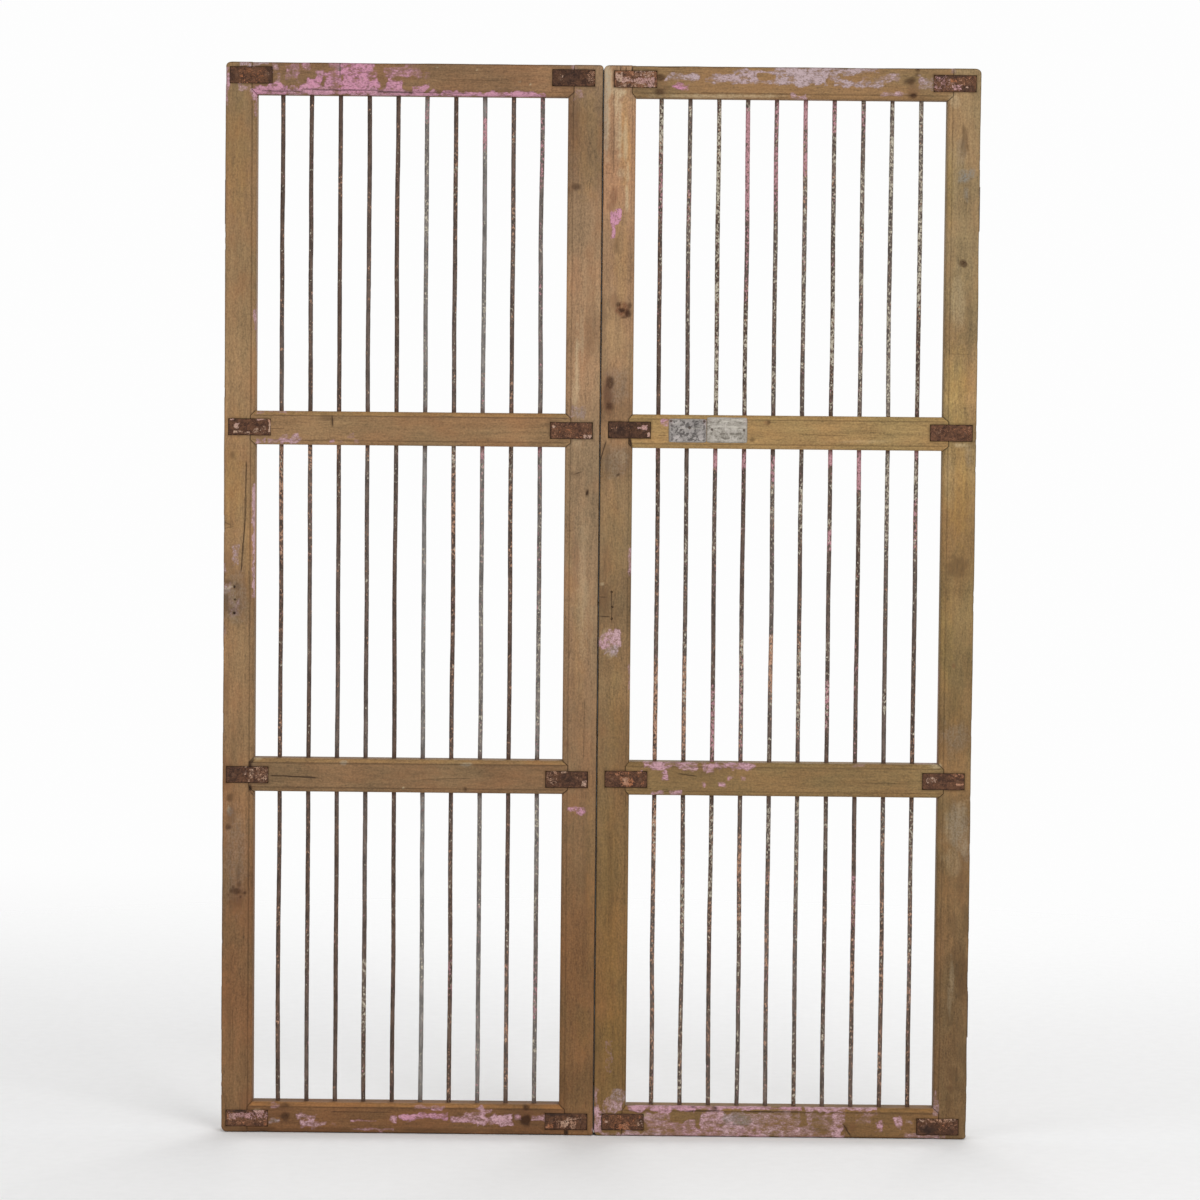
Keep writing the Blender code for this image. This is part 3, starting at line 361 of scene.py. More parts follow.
# straps: flakes (x0, y0, x1, y1, amount, hue: 0 pink, 0.5 cream, 1 orange)
FLAKES = [
    (239, 69, 267, 85, 0.33, 0.95), (265, 73, 270, 78, 0.40, 0.7),
    (588.5, 70.5, 594.5, 83.5, 0.52, 0.62), (559, 72.5, 564, 79, 0.40, 0.6), (594, 69, 597, 86, 0.40, 0.9),
    (622, 76.5, 655, 82.5, 0.66, 0.22), (617, 71, 624, 80, 0.60, 0.4), (648.5, 77, 655.5, 87, 0.62, 0.25),
    (634, 69, 655, 76, 0.46, 0.4), (616, 82, 650, 87, 0.44, 0.5), (616, 69, 634, 74, 0.50, 0.8), (636, 82, 656, 87, 0.46, 0.6),
    (933, 77, 946, 90, 0.38, 0.16), (944, 79, 955, 90, 0.40, 0.20), (951, 84, 962.5, 89.8, 0.64, 0.12), (958, 76, 972, 86, 0.34, 0.9),
    (950, 78.4, 962, 82, 0.52, 0.85), (965.4, 84.6, 968.2, 87.6, 0.85, 0.5),
    (228.5, 418.2, 232.5, 421.5, 0.75, 0.35), (233, 423.5, 238, 429.5, 0.66, 0.35), (232, 431.2, 249.5, 434.8, 0.56, 0.5),
    (256, 418.2, 263.5, 421.4, 0.72, 0.3), (267, 420, 270.2, 432.5, 0.92, 0.62), (252, 427.5, 265, 433.5, 0.38, 0.5),
    (551, 421.5, 592, 437.5, 0.31, 0.85), (552.8, 424.8, 555.4, 427.4, 0.85, 0.5), (583, 433, 592, 437.8, 0.55, 0.4),
    (642.3, 423, 647.6, 428, 0.78, 0.15), (637.3, 425.4, 641.4, 428.2, 0.5, 0.2), (647.4, 431, 649.8, 435.4, 0.85, 0.4),
    (611, 425.8, 618, 428.2, 0.42, 0.7),
    (938.5, 427, 943.5, 432, 0.40, 0.8), (965, 425.8, 972, 431, 0.38, 0.8), (932, 422.5, 973, 438.5, 0.25, 0.9),
    (247.5, 769, 268, 783.2, 0.42, 0.62), (240, 767.4, 245.4, 777, 0.36, 0.5),
    (545.2, 771.5, 556, 786, 0.42, 0.66), (560, 772, 567.4, 774.8, 0.60, 0.5), (581.4, 781.4, 586, 787.8, 0.62, 0.45),
    (570, 775, 586, 782, 0.30, 0.8),
    (620.6, 778.4, 633.4, 787, 0.54, 0.88), (622, 780, 628, 786, 0.68, 0.72), (615, 772.2, 632, 776.4, 0.46, 0.9), (637, 771.4, 641.4, 774.6, 0.50, 0.9),
    (640.6, 781, 646, 787, 0.42, 0.9), (604, 772, 646, 786, 0.20, 1.0),
    (928.2, 777, 937.2, 783, 0.50, 0.5), (957, 782.6, 965.4, 786.4, 0.82, 0.85), (952.6, 773.4, 966, 778, 0.42, 0.9),
    (253, 1108.8, 263.4, 1112.8, 0.74, 0.3), (229, 1112.6, 250, 1118, 0.58, 0.10), (229, 1117.6, 267.4, 1125.4, 0.26, 0.80),
    (249, 1112.4, 267.6, 1118.8, 0.50, 0.20), (236, 1121.2, 245.4, 1124, 0.60, 0.80), (257.6, 1119.2, 267.6, 1124.4, 0.46, 0.85), (227, 1113.6, 232, 1118.4, 0.56, 0.80),
    (552.6, 1119, 574, 1128.2, 0.50, 0.75), (558, 1120, 568, 1127, 0.64, 0.62), (566, 1117.4, 580.6, 1121.2, 0.50, 0.6), (544.6, 1124.4, 552.4, 1128.2, 0.55, 0.85),
    (616.6, 1123.6, 630, 1130.8, 0.60, 0.95), (616.6, 1115.2, 622.6, 1118.2, 0.55, 0.9), (603.8, 1121.2, 606.4, 1123.8, 0.85, 0.4),
    (602, 1116, 642, 1131, 0.34, 1.0), (634, 1118, 642, 1128, 0.40, 0.5),
    (917.6, 1116.6, 954.6, 1120.8, 0.48, 0.62), (919, 1121.6, 927.4, 1125.4, 0.40, 0.3), (937, 1121, 955, 1128, 0.34, 0.85),
]
# straps: darker places (x, y, rx, ry, amount)
STRAP_DARK = [
    (271, 77, 5.0, 9.0, 0.55), (234, 77, 5.0, 9.0, 0.25), (572, 77, 12.0, 8.0, 0.35), (952, 75.5, 18.0, 2.4, 0.6),
    (967, 88, 8.0, 4.0, 0.6), (620, 429, 10.0, 8.0, 0.3), (232, 775, 8.0, 9.0, 0.35), (568, 780, 12.0, 7.0, 0.35),
    (239, 1111, 11.0, 1.8, 0.8), (556, 1114.6, 14.0, 2.4, 0.7), (927, 1128, 10.0, 4.5, 0.75), (638, 1129, 5.0, 4.0, 0.4),
    (942, 780, 9.0, 8.0, 0.25), (623, 73.5, 5.0, 2.2, 0.75), (640, 71, 9.0, 1.4, 0.60), (652, 84.5, 3.0, 3.4, 0.70),
    (630, 85, 9.0, 1.8, 0.65), (634, 78, 2.4, 4.0, 0.50), (646, 76, 2.2, 3.2, 0.55), (618.5, 82, 2.2, 4.0, 0.60),
    (612, 1130, 12.0, 1.8, 0.60), (640, 1124, 2.4, 7.0, 0.55), (606, 1118, 4.0, 4.0, 0.30),
]
STRAP_TONE = {
    ("left", "top", "hang"): 1.00, ("left", "top", "meet"): 0.76, ("right", "top", "meet"): 1.62, ("right", "top", "hang"): 1.16,
    ("left", "upper", "hang"): 0.96, ("left", "upper", "meet"): 1.00, ("right", "upper", "meet"): 0.66, ("right", "upper", "hang"): 1.02,
    ("left", "lower", "hang"): 0.94, ("left", "lower", "meet"): 0.86, ("right", "lower", "meet"): 0.94, ("right", "lower", "hang"): 1.00,
    ("left", "bottom", "hang"): 1.20, ("left", "bottom", "meet"): 0.90, ("right", "bottom", "meet"): 1.08, ("right", "bottom", "hang"): 0.85,
}
# straps whose outline is lost under paint and dirt
BLURRED = [("right", "top", "meet"), ("right", "top", "hang"), ("left", "bottom", "hang")]
# bars: how grey, then the shares of orange rust, cream and pink flakes all along,
# and the stretches (top, bottom, kind, share) where more is left
BAR_LOOK = {
    "left": [
        (0.00, 0.16, 0.06, 0.02, [(440, 560, "o", 0.42), (560, 640, "o", 0.30), (690, 760, "o", 0.3), (790, 1100, "o", 0.24)]),
        (0.05, 0.14, 0.10, 0.02, [(440, 500, "o", 0.42), (500, 560, "o", 0.30), (500, 560, "p", 0.2)]),
        (0.05, 0.12, 0.06, 0.02, [(440, 455, "o", 0.5), (160, 200, "o", 0.3)]),
        (0.12, 0.14, 0.08, 0.02, [(440, 460, "o", 0.42), (960, 1100, "c", 0.32)]),
        (0.05, 0.12, 0.08, 0.02, [(440, 452, "c", 0.36)]),
        (0.85, 0.06, 0.24, 0.08, [(95, 120, "p", 0.42), (120, 300, "c", 0.30)]),
        (0.00, 0.24, 0.16, 0.04, [(440, 560, "o", 0.38), (445, 470, "c", 0.45), (960, 1000, "p", 0.36)]),
        (0.75, 0.06, 0.24, 0.10, [(118, 150, "p", 0.55), (440, 455, "p", 0.5), (445, 470, "c", 0.4)]),
        (0.05, 0.24, 0.14, 0.04, [(440, 560, "o", 0.34), (445, 480, "c", 0.35), (960, 1090, "o", 0.34)]),
        (0.62, 0.08, 0.24, 0.16, [(95, 190, "p", 0.34), (440, 455, "p", 0.60), (960, 1020, "p", 0.36)]),
    ],
    "right": [
        (0.10, 0.20, 0.16, 0.06, [(95, 150, "c", 0.48), (150, 300, "c", 0.28), (170, 210, "p", 0.42), (440, 455, "p", 0.5), (655, 760, "o", 0.54),
                                  (800, 860, "o", 0.46), (800, 860, "c", 0.36), (860, 1100, "o", 0.34)]),
        (0.10, 0.20, 0.18, 0.06, [(95, 420, "c", 0.26), (185, 215, "p", 0.36), (500, 560, "c", 0.34), (655, 760, "o", 0.52), (680, 700, "c", 0.4),
                                  (800, 840, "c", 0.40), (840, 1100, "o", 0.32), (840, 1100, "c", 0.26)]),
        (0.15, 0.16, 0.18, 0.08, [(95, 420, "c", 0.46), (440, 465, "p", 0.62), (520, 560, "c", 0.34), (685, 765, "p", 0.56), (690, 765, "c", 0.40),
                                  (805, 900, "c", 0.44), (900, 1100, "o", 0.30)]),
        (0.12, 0.16, 0.16, 0.10, [(95, 110, "c", 0.45), (108, 205, "p", 0.66), (205, 300, "p", 0.42), (300, 420, "c", 0.34), (440, 465, "p", 0.45),
                                  (640, 765, "c", 0.38), (655, 765, "p", 0.34), (640, 765, "o", 0.30), (835, 920, "o", 0.46), (920, 1100, "c", 0.28)]),
        (0.22, 0.16, 0.18, 0.10, [(95, 210, "p", 0.52), (210, 420, "c", 0.34), (455, 480, "p", 0.55), (480, 520, "c", 0.34), (635, 690, "o", 0.56),
                                  (690, 760, "c", 0.34), (800, 860, "c", 0.38), (860, 1100, "o", 0.30)]),
        (0.12, 0.22, 0.20, 0.06, [(95, 125, "p", 0.72), (125, 170, "p", 0.46), (150, 172, "p", 0.70), (172, 420, "c", 0.36), (480, 560, "c", 0.34),
                                  (640, 740, "c", 0.44), (640, 740, "o", 0.40), (800, 1100, "c", 0.30)]),
        (0.12, 0.16, 0.20, 0.08, [(100, 130, "p", 0.46), (125, 420, "c", 0.42), (440, 462, "p", 0.74), (470, 545, "c", 0.36), (530, 548, "p", 0.60),
                                  (640, 680, "c", 0.34), (680, 728, "p", 0.46), (680, 728, "c", 0.44), (800, 1100, "c", 0.26)]),
        (0.12, 0.16, 0.16, 0.08, [(95, 420, "c", 0.38), (105, 140, "p", 0.36), (440, 488, "p", 0.72), (640, 760, "p", 0.26), (875, 925, "p", 0.48),
                                  (860, 1100, "o", 0.36)]),
        (0.15, 0.14, 0.20, 0.06, [(95, 420, "c", 0.42), (440, 560, "c", 0.48), (690, 712, "c", 0.46), (800, 1100, "o", 0.30), (800, 1100, "c", 0.26)]),
        (0.15, 0.18, 0.20, 0.06, [(95, 420, "c", 0.46), (440, 500, "c", 0.50), (440, 455, "p", 0.6), (495, 545, "p", 0.40), (500, 560, "o", 0.40),
                                  (805, 900, "c", 0.44), (900, 1100, "o", 0.30)]),
    ],
}


def ragged(u, v, boxes, seed, soft=1.1, rag=0.30):
    """Largest amount over the boxes, with the hue that goes with it; the edges wander."""
    amount, hue = np.zeros(u.shape), np.zeros(u.shape)
    at = np.stack([u, 0 * u, v], -1)
    edges = [fbm(at, (0.15, 1, 0.15), seed + 31 * i, 3) for i in range(4)]
    for x0, y0, x1, y1, much, tone in boxes:
        near = ((u > x0 - 5) & (u < x1 + 5) & (v > y0 - 5) & (v < y1 + 5))
        if not near.any():
            continue
        w = min(4.5, rag * min(x1 - x0, y1 - y0) * 2)
        inside = np.minimum(np.minimum(u - x0 + w * edges[0], x1 - u + w * edges[1]),
                            np.minimum(v - y0 + w * edges[2], y1 - v + w * edges[3]))
        value = much * step(inside, -soft, soft)
        hue = np.where(value > amount, tone, hue)
        amount = np.maximum(amount, value)
    return amount, hue


def spots(u, v, listed, seed):
    amount = np.zeros(u.shape)
    at = np.stack([u, 0 * u, v], -1)
    wob = fbm(at, (0.22, 1, 0.22), seed, 3)
    for x, y, rx, ry, much in listed:
        near = (np.abs(u - x) < rx * 1.7) & (np.abs(v - y) < ry * 1.7)
        if near.any():
            r = np.hypot((u - x) / rx, (v - y) / ry) * (1 + 0.45 * wob)
            amount = np.maximum(amount, much * (1 - step(r, 0.45, 1.15)))
    return amount


# --------------------------------------------------------------------------
# Mesh helpers
# --------------------------------------------------------------------------
def mesh_piece(name, points, faces, maps, sharp, values, body, replaced):
    """A closed mesh piece: points, faces, one map place for each face corner."""
    mesh = bpy.data.meshes.new(name)
    mesh.from_pydata([tuple(p) for p in points.tolist()], [], faces)
    layer = mesh.uv_layers.new(name="OFBake")
    layer.data.foreach_set("uv", np.asarray(maps, np.float32).ravel())
    bm = bmesh.new()
    bm.from_mesh(mesh)
    bmesh.ops.recalc_face_normals(bm, faces=bm.faces)
    bm.to_mesh(mesh)
    bm.free()
    mesh.shade_smooth()
    mesh.set_sharp_from_angle(angle=math.radians(sharp))
    for key, value in values.items():
        a = mesh.attributes.new(key, "FLOAT", "POINT")
        a.data.foreach_set("value", np.asarray(value, np.float32))
    mesh.validate()
    obj = bpy.data.objects.new(name, mesh)
    bpy.context.scene.collection.objects.link(obj)
    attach(obj, body)
    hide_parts(*replaced)
    return obj


def tube_faces(rings, around):
    """Quads of a tube of rings, each a closed loop of points."""
    i = np.arange(rings - 1)[:, None] * around
    k = np.arange(around)[None, :]
    k1 = (k + 1) % around
    return np.stack([i + k, i + k1, i + around + k1, i + around + k], -1).reshape(-1, 4)


def tube_maps(along, girth, parts, spare=0.06):
    """Map places for tube_faces: the tube cut in some parts of its length, side by side.
    along: place of each ring; girth: place of each loop point and of the closing one."""
    rings, around = len(along), len(girth) - 1
    span = (along[-1] - along[0]) / parts
    part = np.clip(((along[:-1] + along[1:]) / 2 - along[0]) // span, 0, parts - 1)
    width = (1 - spare) / parts
    g = girth / girth[-1]
    g0, g1 = g[:-1], g[1:]
    v0 = (along[:-1] - along[0] - part * span) / span
    v1 = (along[1:] - along[0] - part * span) / span
    pad = 0.02
    out = np.zeros((rings - 1, around, 4, 2))
    u0 = part[:, None] * width + width * (pad + (1 - 2 * pad) * g0[None, :])
    u1 = part[:, None] * width + width * (pad + (1 - 2 * pad) * g1[None, :])
    low = np.clip(0.01 + 0.98 * v0, 0, 1)[:, None] + 0 * u0
    high = np.clip(0.01 + 0.98 * v1, 0, 1)[:, None] + 0 * u0
    out[..., 0, 0], out[..., 0, 1] = u0, low
    out[..., 1, 0], out[..., 1, 1] = u1, low
    out[..., 2, 0], out[..., 2, 1] = u1, high
    out[..., 3, 0], out[..., 3, 1] = u0, high
    return out.reshape(-1, 2)


def flat_maps(places, corner, size):
    """Map places for one flat face: its own shape, shrunk into a square of the map."""
    lo, hi = places.min(0), places.max(0)
    k = size / max((hi - lo).max(), 1e-9)
    return corner + (places - lo) * k


def hollows(P, bare, node):
    """Sinks knots, gouges and old fixing holes into the front face of a wooden piece."""
    u, v = in_view(P.reshape(-1, 3))
    deep = spots(u, v, [q for q in DARK if q[4] >= 0.74], 63).reshape(bare.shape)
    P[..., 1] += np.where(bare, step(deep, 0.35, 0.95) * 0.0011, 0)
    for hole_u, hole_v, _ in HOLES.get(node, []):
        at = on_face(hole_u, hole_v)
        off = np.where(bare, np.hypot(P[..., 0] - at[0], P[..., 2] - at[2]), 1.0)
        j, i = np.unravel_index(np.argmin(off), off.shape)
        P[j, i] = (at[0], P[j, i, 1] + 0.0026, at[2])


class Leaf:
    def __init__(self, side):
        self.side = side
        self.out = -1 if side == "left" else 1
        hang, meet = STILE_W[side]
        self.x_meet = self.out * MEETING_GAP / 2
        self.x_hang = self.x_meet + self.out * LEAF_W
        self.x_meet_in = self.x_meet + self.out * meet
        self.x_hang_in = self.x_hang - self.out * hang
        self.x_axis = self.x_hang + self.out * (JAMB_GAP - FLAP_T - GAP / 2)
        mid = (self.x_meet_in + self.x_hang_in) / 2
        self.bars = sorted(mid + BAR_PITCH * (i - (BARS - 1) / 2) for i in range(BARS))

    def stile(self, which):
        if which == "hang":
            return self.x_hang, self.x_hang_in, -self.out
        return self.x_meet, self.x_meet_in, self.out

    def strap(self, which, rail):
        edge, _, d = self.stile(which)
        start, drop = STRAP_PLACE[self.side, which][rail]
        z0, z1 = RAILS[rail]
        z = (z0 + z1) / 2 - drop
        return (sorted((edge + d * start, edge + d * (start + STRAP_L))),
                (z - STRAP_H / 2, z + STRAP_H / 2))


STRAP_BOXES = []
for strap_leaf in (Leaf("left"), Leaf("right")):
    for strap_end in ("hang", "meet"):
        for strap_rail in ORDER:
            (box_x0, box_x1), (box_z0, box_z1) = strap_leaf.strap(strap_end, strap_rail)
            STRAP_BOXES.append((box_x0, box_z0, box_x1, box_z1))


def wood_values(points, front, seams):
    """Paint, hue, stains, seam dirt and painted shade in the meeting slit for each point of a wooden piece."""
    u, v = in_view(points)
    paint, hue = ragged(u, v, PAINT, 61)
    dark = spots(u, v, DARK, 63)
    pale = spots(u, v, PALE, 64)
    smear = spots(u, v, SMEAR, 65)
    rusty = spots(u, v, RUSTY, 66)
    gold_and_highlight = spots(u, v, GOLD, 68)
    # iron stains round the straps
    for x0, z0, x1, z1 in STRAP_BOXES:
        off = np.hypot(np.maximum(np.maximum(x0 - points[:, 0], points[:, 0] - x1), 0),
                       np.maximum(np.maximum(z0 - points[:, 2], points[:, 2] - z1), 0))
        near = 1 - step(off, 0.0, 0.0052)
        if near.any():
            dark = np.maximum(dark, near * (0.38 + 0.22 * noise(points, (90, 1, 90), 67)))
    # the back and the edges carry a little old paint of their own
    behind = step(fbm(points, (9, 9, 5), 71), 0.22, 0.70) * 0.46
    behind_dark = step(fbm(points, (6, 6, 4), 72), 0.10, 0.7) * 0.40
    paint = paint * front + behind * (1 - front)
    hue = hue * front + 0.55 * (1 - front)
    dark = dark * front + behind_dark * (1 - front)
    return {"paint": paint, "hue": hue, "dark": dark, "pale": pale * front,
            "smear": smear * front, "rusty": rusty * front, "gold_and_highlight": gold_and_highlight * front, "seam_dirt_and_shade": seams}


def drifts(points, node, axis):
    """Sum of the broad stretches of tone; axis: 0 along a rail, 1 along a stile."""
    at, change = in_view(points)[axis], np.zeros(len(points))
    for middle, half, much in DRIFT.get(node, []):
        change += much * np.exp(-np.minimum(np.abs(at - middle) / half, 3.0) ** 4)
    return change


# the rounded moulding: share of its width from the face, share of its depth
OVOLO = [(q, 1 - math.sqrt(1 - q * q)) for q in (0.30, 0.56, 0.76, 0.90, 0.975)]


# --------------------------------------------------------------------------
# Stiles: rings up the length, each ring a loop round the section
# --------------------------------------------------------------------------
QUIRK = {("left", "hang"): 0.62, ("left", "meet"): 0.34, ("right", "meet"): 0.22, ("right", "hang"): 0.34}


def make_stile(leaf, which, row_step=0.0025):
    edge, inner, d = leaf.stile(which)
    wide = MOULD_STILE[leaf.side, which]
    node = f"{leaf.side}_{WORD[which]}_stile"
    W, T = abs(inner - edge), LEAF_T
    xs = W - wide
    lift = JOINT * math.hypot(1, MOULD_RAIL / wide)
    flap_t = Y_AXIS - FLAP_W - GAP - Y_FRONT
    floor = abs(leaf.x_hang - (leaf.x_axis - leaf.out * (FLAP_T + GAP * 1.5)))
    seed = {"left": 100, "right": 200}[leaf.side] + (10 if which == "hang" else 20)
    n1, n2 = 4, 17
    arris, cut = (0.0018, 0.0005) if which == "hang" else (0.0006, 0.0002)
    ease_by, worn_by = (1.0, 1.0) if which == "hang" else (0.42, 0.35)      # the meeting edges are sharper

    def section(notch, cs, strap, rec):
        """Points (from the outer edge, from the face) round the section, and their kind."""
        p = [(s * ease_by, t * ease_by, k) for s, t, k in
             ((0, 0.0030, "a"), (0.0004, 0.0014, "a"), (0.0014, 0.0004, "a"), (0.0030, 0, "f"))]
        start = p[-1][0]
        for j in range(1, n1 + 1):
            p.append((start + (cs - EPS - start) * j / n1, 0, "f"))
        bed, m = (RECESS if strap else 0), (xs - JOINT if notch else xs)
        for j in range(n2 + 1):
            p.append((cs + EPS + (m - cs - EPS) * j / n2, bed, "f"))
        if notch:
            p += [(m + 0.00002, bed + (SEAT - bed) * 0.33, "m"), (m + 0.00003, bed + (SEAT - bed) * 0.66, "m"),
                  (m + 0.00004, SEAT, "m"), (m + (W - m) * 0.35, SEAT, "m"), (m + (W - m) * 0.7, SEAT, "m"),
                  (W - 0.0005, SEAT, "m"), (W, SEAT + 0.0006, "m")]
        else:
            p += [(xs + 0.0003, 0.0006, "m")]
            p += [(xs + wide * q, 0.0004 + (MOULD_D - 0.0004) * e, "m") for q, e in OVOLO]
            p += [(W, MOULD_D + 0.0006, "m")]
        p += [(W, t, "i") for t in (0.0125, 0.019, 0.0255, 0.032)]
        p += [(W, T - 0.0014, "i"), (W - 0.0004, T - 0.0004, "b"), (W - 0.0014, T, "b")]
        r = floor if rec else 0.0
        nb = 8
        for j in range(1, nb):
            p.append((W - 0.0014 + (arris + r - W + 0.0014) * j / nb, T, "b"))
        p += [(arris + r, T, "b"), (cut + r, T - cut, "o"), (r, T - arris, "o")]
        p += [(r, t, "o") for t in (0.033, 0.027, 0.020, flap_t + EPS)]
        p += [(0, flap_t - EPS, "o"), (0, 0.0075, "o")]
        s = np.array([q[0] for q in p])
        t = np.array([q[1] for q in p])
        kind = np.array([q[2] for q in p])
        tau = np.clip((W - s) / wide, 0, 1)
        tau[kind == "i"] = 0
        tau[kind == "b"] = np.clip((W - s[kind == "b"]) / W, 0, 1)
        tau[(kind == "o") | (kind == "a")] = 1
        return s, t, kind, tau

    rings = []          # (z of each loop point, s, t, mitre or not)

    def span(low, high, notch, c0, c1, strap=False, rec=False, shares=None, mitre=(0, 0)):
        if shares is None:
            n = max(1, math.ceil(float(np.mean(high - low)) / row_step))
            shares = np.arange(n + 1) / n
        for i, f in enumerate(shares):
            s, t, _, _ = section(notch, c0 * (1 - f) + c1 * f, strap, rec)
            at_mitre = (mitre[0] and i == 0) or (mitre[1] and i == len(shares) - 1)
            rings.append((low * (1 - f) + high * f, s, t, at_mitre))

    place = STRAP_PLACE[leaf.side, which]
    _, _, kind, tau_n = section(True, 0.01, False, False)
    _, _, _, tau_o = section(False, 0.01, False, False)
    full = np.ones(len(kind))
    for k, rail in enumerate(ORDER):
        z0, z1 = RAILS[rail]
        cs = place[rail][0] - GAP
        _, (q0, q1) = leaf.strap(which, rail)
        low = full * 0 if rail == "bottom" else z0 - lift + MOULD_RAIL * tau_n + EPS
        high = full * LEAF_H if rail == "top" else z1 + lift - MOULD_RAIL * tau_n - EPS
        ends = np.array([0, 0.03, 0.09, 0.19, 0.33, 0.52, 0.75, 1.0])
        span(low, full * (q0 - GAP - EPS), True, cs, cs, shares=ends if rail == "bottom" else None)
        span(full * (q0 - GAP + EPS), full * (q1 + GAP - EPS), True, cs, cs, strap=True)
        span(full * (q1 + GAP + EPS), high, True, cs, cs,
             shares=1 - ends[::-1] if rail == "top" else None)
        if rail == "top":
            break
        after = ORDER[k + 1]
        c1 = place[after][0] - GAP
        low = z1 + lift - MOULD_RAIL * tau_o + EPS
        high = RAILS[after][0] - lift + MOULD_RAIL * tau_o - EPS
        inside = [h for h in HINGE_Z if which == "hang" and z1 < h < RAILS[after][0]]
        if inside:
            h0, h1 = inside[0] - HINGE_L / 2 - GAP, inside[0] + HINGE_L / 2 + GAP
            span(low, full * (h0 - EPS), False, cs, cs, mitre=(1, 0))
            span(full * (h0 + EPS), full * (h1 - EPS), False, cs, cs, rec=True)
            span(full * (h1 + EPS), high, False, cs, c1, mitre=(0, 1))
        else:
            span(low, high, False, cs, c1, mitre=(1, 1))

    Z = np.array([r[0] for r in rings])
    S = np.array([r[1] for r in rings])
    D = np.array([r[2] for r in rings])
    at_mitre = np.array([r[3] for r in rings], bool)
    flat = S.copy()
    # rounded, worn corners at both ends of the outer edge, and eased ends
    top_r, bottom_r = CORNER_R[leaf.side, which]
    deep = D.copy()
    for gap, r in ((LEAF_H - Z, top_r), (Z, bottom_r)):
        inset = np.where(gap < r, r - np.sqrt(np.maximum(r * r - (r - np.clip(gap, 0, r)) ** 2, 0)), 0)
        S = inset + S * (W - inset) / W
        ease = np.clip(0.0016 - gap, 0, 1) * 0.60
        S = W / 2 + (S - W / 2) * (1 - ease / (W / 2))
        D = T / 2 + (D - T / 2) * (1 - ease / (T / 2))
    if which == "meet":
        # closest 18.9 mm in front of the axis; from there both ways the edge clears the arc
        # that the other leaf's corners take when one leaf swings and the other stays shut
        need = np.abs((Y_AXIS - Y_FRONT - D) ** 2 - 0.0189 ** 2) / (2 * abs(leaf.x_axis)) + 0.00003
        S = S - (MEET_BEVEL - need) * (1 - S / W)
    P = np.stack([edge + d * S, Y_FRONT + D, Z], -1)

    # wear: wavy edges, rubbed arrises, a face that isn't quite flat
    is_f, is_a, is_o, is_b = (kind == q for q in "faob")
    bare = ((deep < 0.0004) & is_f[None, :])
    swell = fbm(P, (16, 1, 4.5), seed) * 0.00030 + fbm(P, (120, 1, 9), seed + 3) * 0.00012
    P[..., 1] += np.where(bare, np.maximum(swell, -0.00022), 0)
    line = np.stack([0 * P[..., 2], 0 * P[..., 2], P[..., 2]], -1)
    wave = np.maximum((fbm(line, (1, 1, 11), seed + 5, 4) + 0.55) * 0.00075, 0) * worn_by
    nick = step(fbm(line, (1, 1, 42), seed + 6, 2), 0.42, 0.85) * 0.0019 * worn_by
    outer = (is_a | is_o)[None, :] & (flat < 0.0036) & (deep < (0.035 if which == "hang" else 0.016))
    P[..., 0] += d * np.where(outer & is_a[None, :], wave + nick, 0)
    P[..., 0] += d * np.where(outer & is_o[None, :], wave, 0)
    P[..., 1] += np.where(is_a[None, :], nick * 0.8 + np.maximum(fbm(line, (1, 1, 20), seed + 9), 0) * 0.0009 * worn_by, 0)
    rub = step(fbm(P, (30, 30, 24), seed + 8, 2), 0.1, 0.9) * 0.0012
    P[..., 1] += np.where((kind == "m")[None, :] & (deep < SEAT - 0.0004) & (deep > 0.0005), rub, 0)
    P[..., 1] -= np.where(is_b[None, :] & (deep > T - 0.0002), np.maximum(fbm(P, (14, 1, 6), seed + 12), 0) * 0.0006, 0)
    hollows(P, bare, node)

    R, K = Z.shape
    points = P.reshape(-1, 3)
    quads = tube_faces(R, K).tolist()
    faces = quads + [list(range(K))[::-1], [(R - 1) * K + k for k in range(K)]]
    loop = np.concatenate([P[R // 3, :, :2], P[R // 3, :1, :2]])
    girth = np.concatenate([[0], np.cumsum(np.linalg.norm(np.diff(loop, axis=0), axis=1))])
    maps = tube_maps(Z.mean(1), girth, 3)
    caps = [flat_maps(P[0][::-1][:, :2], np.array([0.945, 0.01]), 0.05),
            flat_maps(P[-1][:, :2], np.array([0.945, 0.5]), 0.05)]
    maps = np.concatenate([maps] + caps)
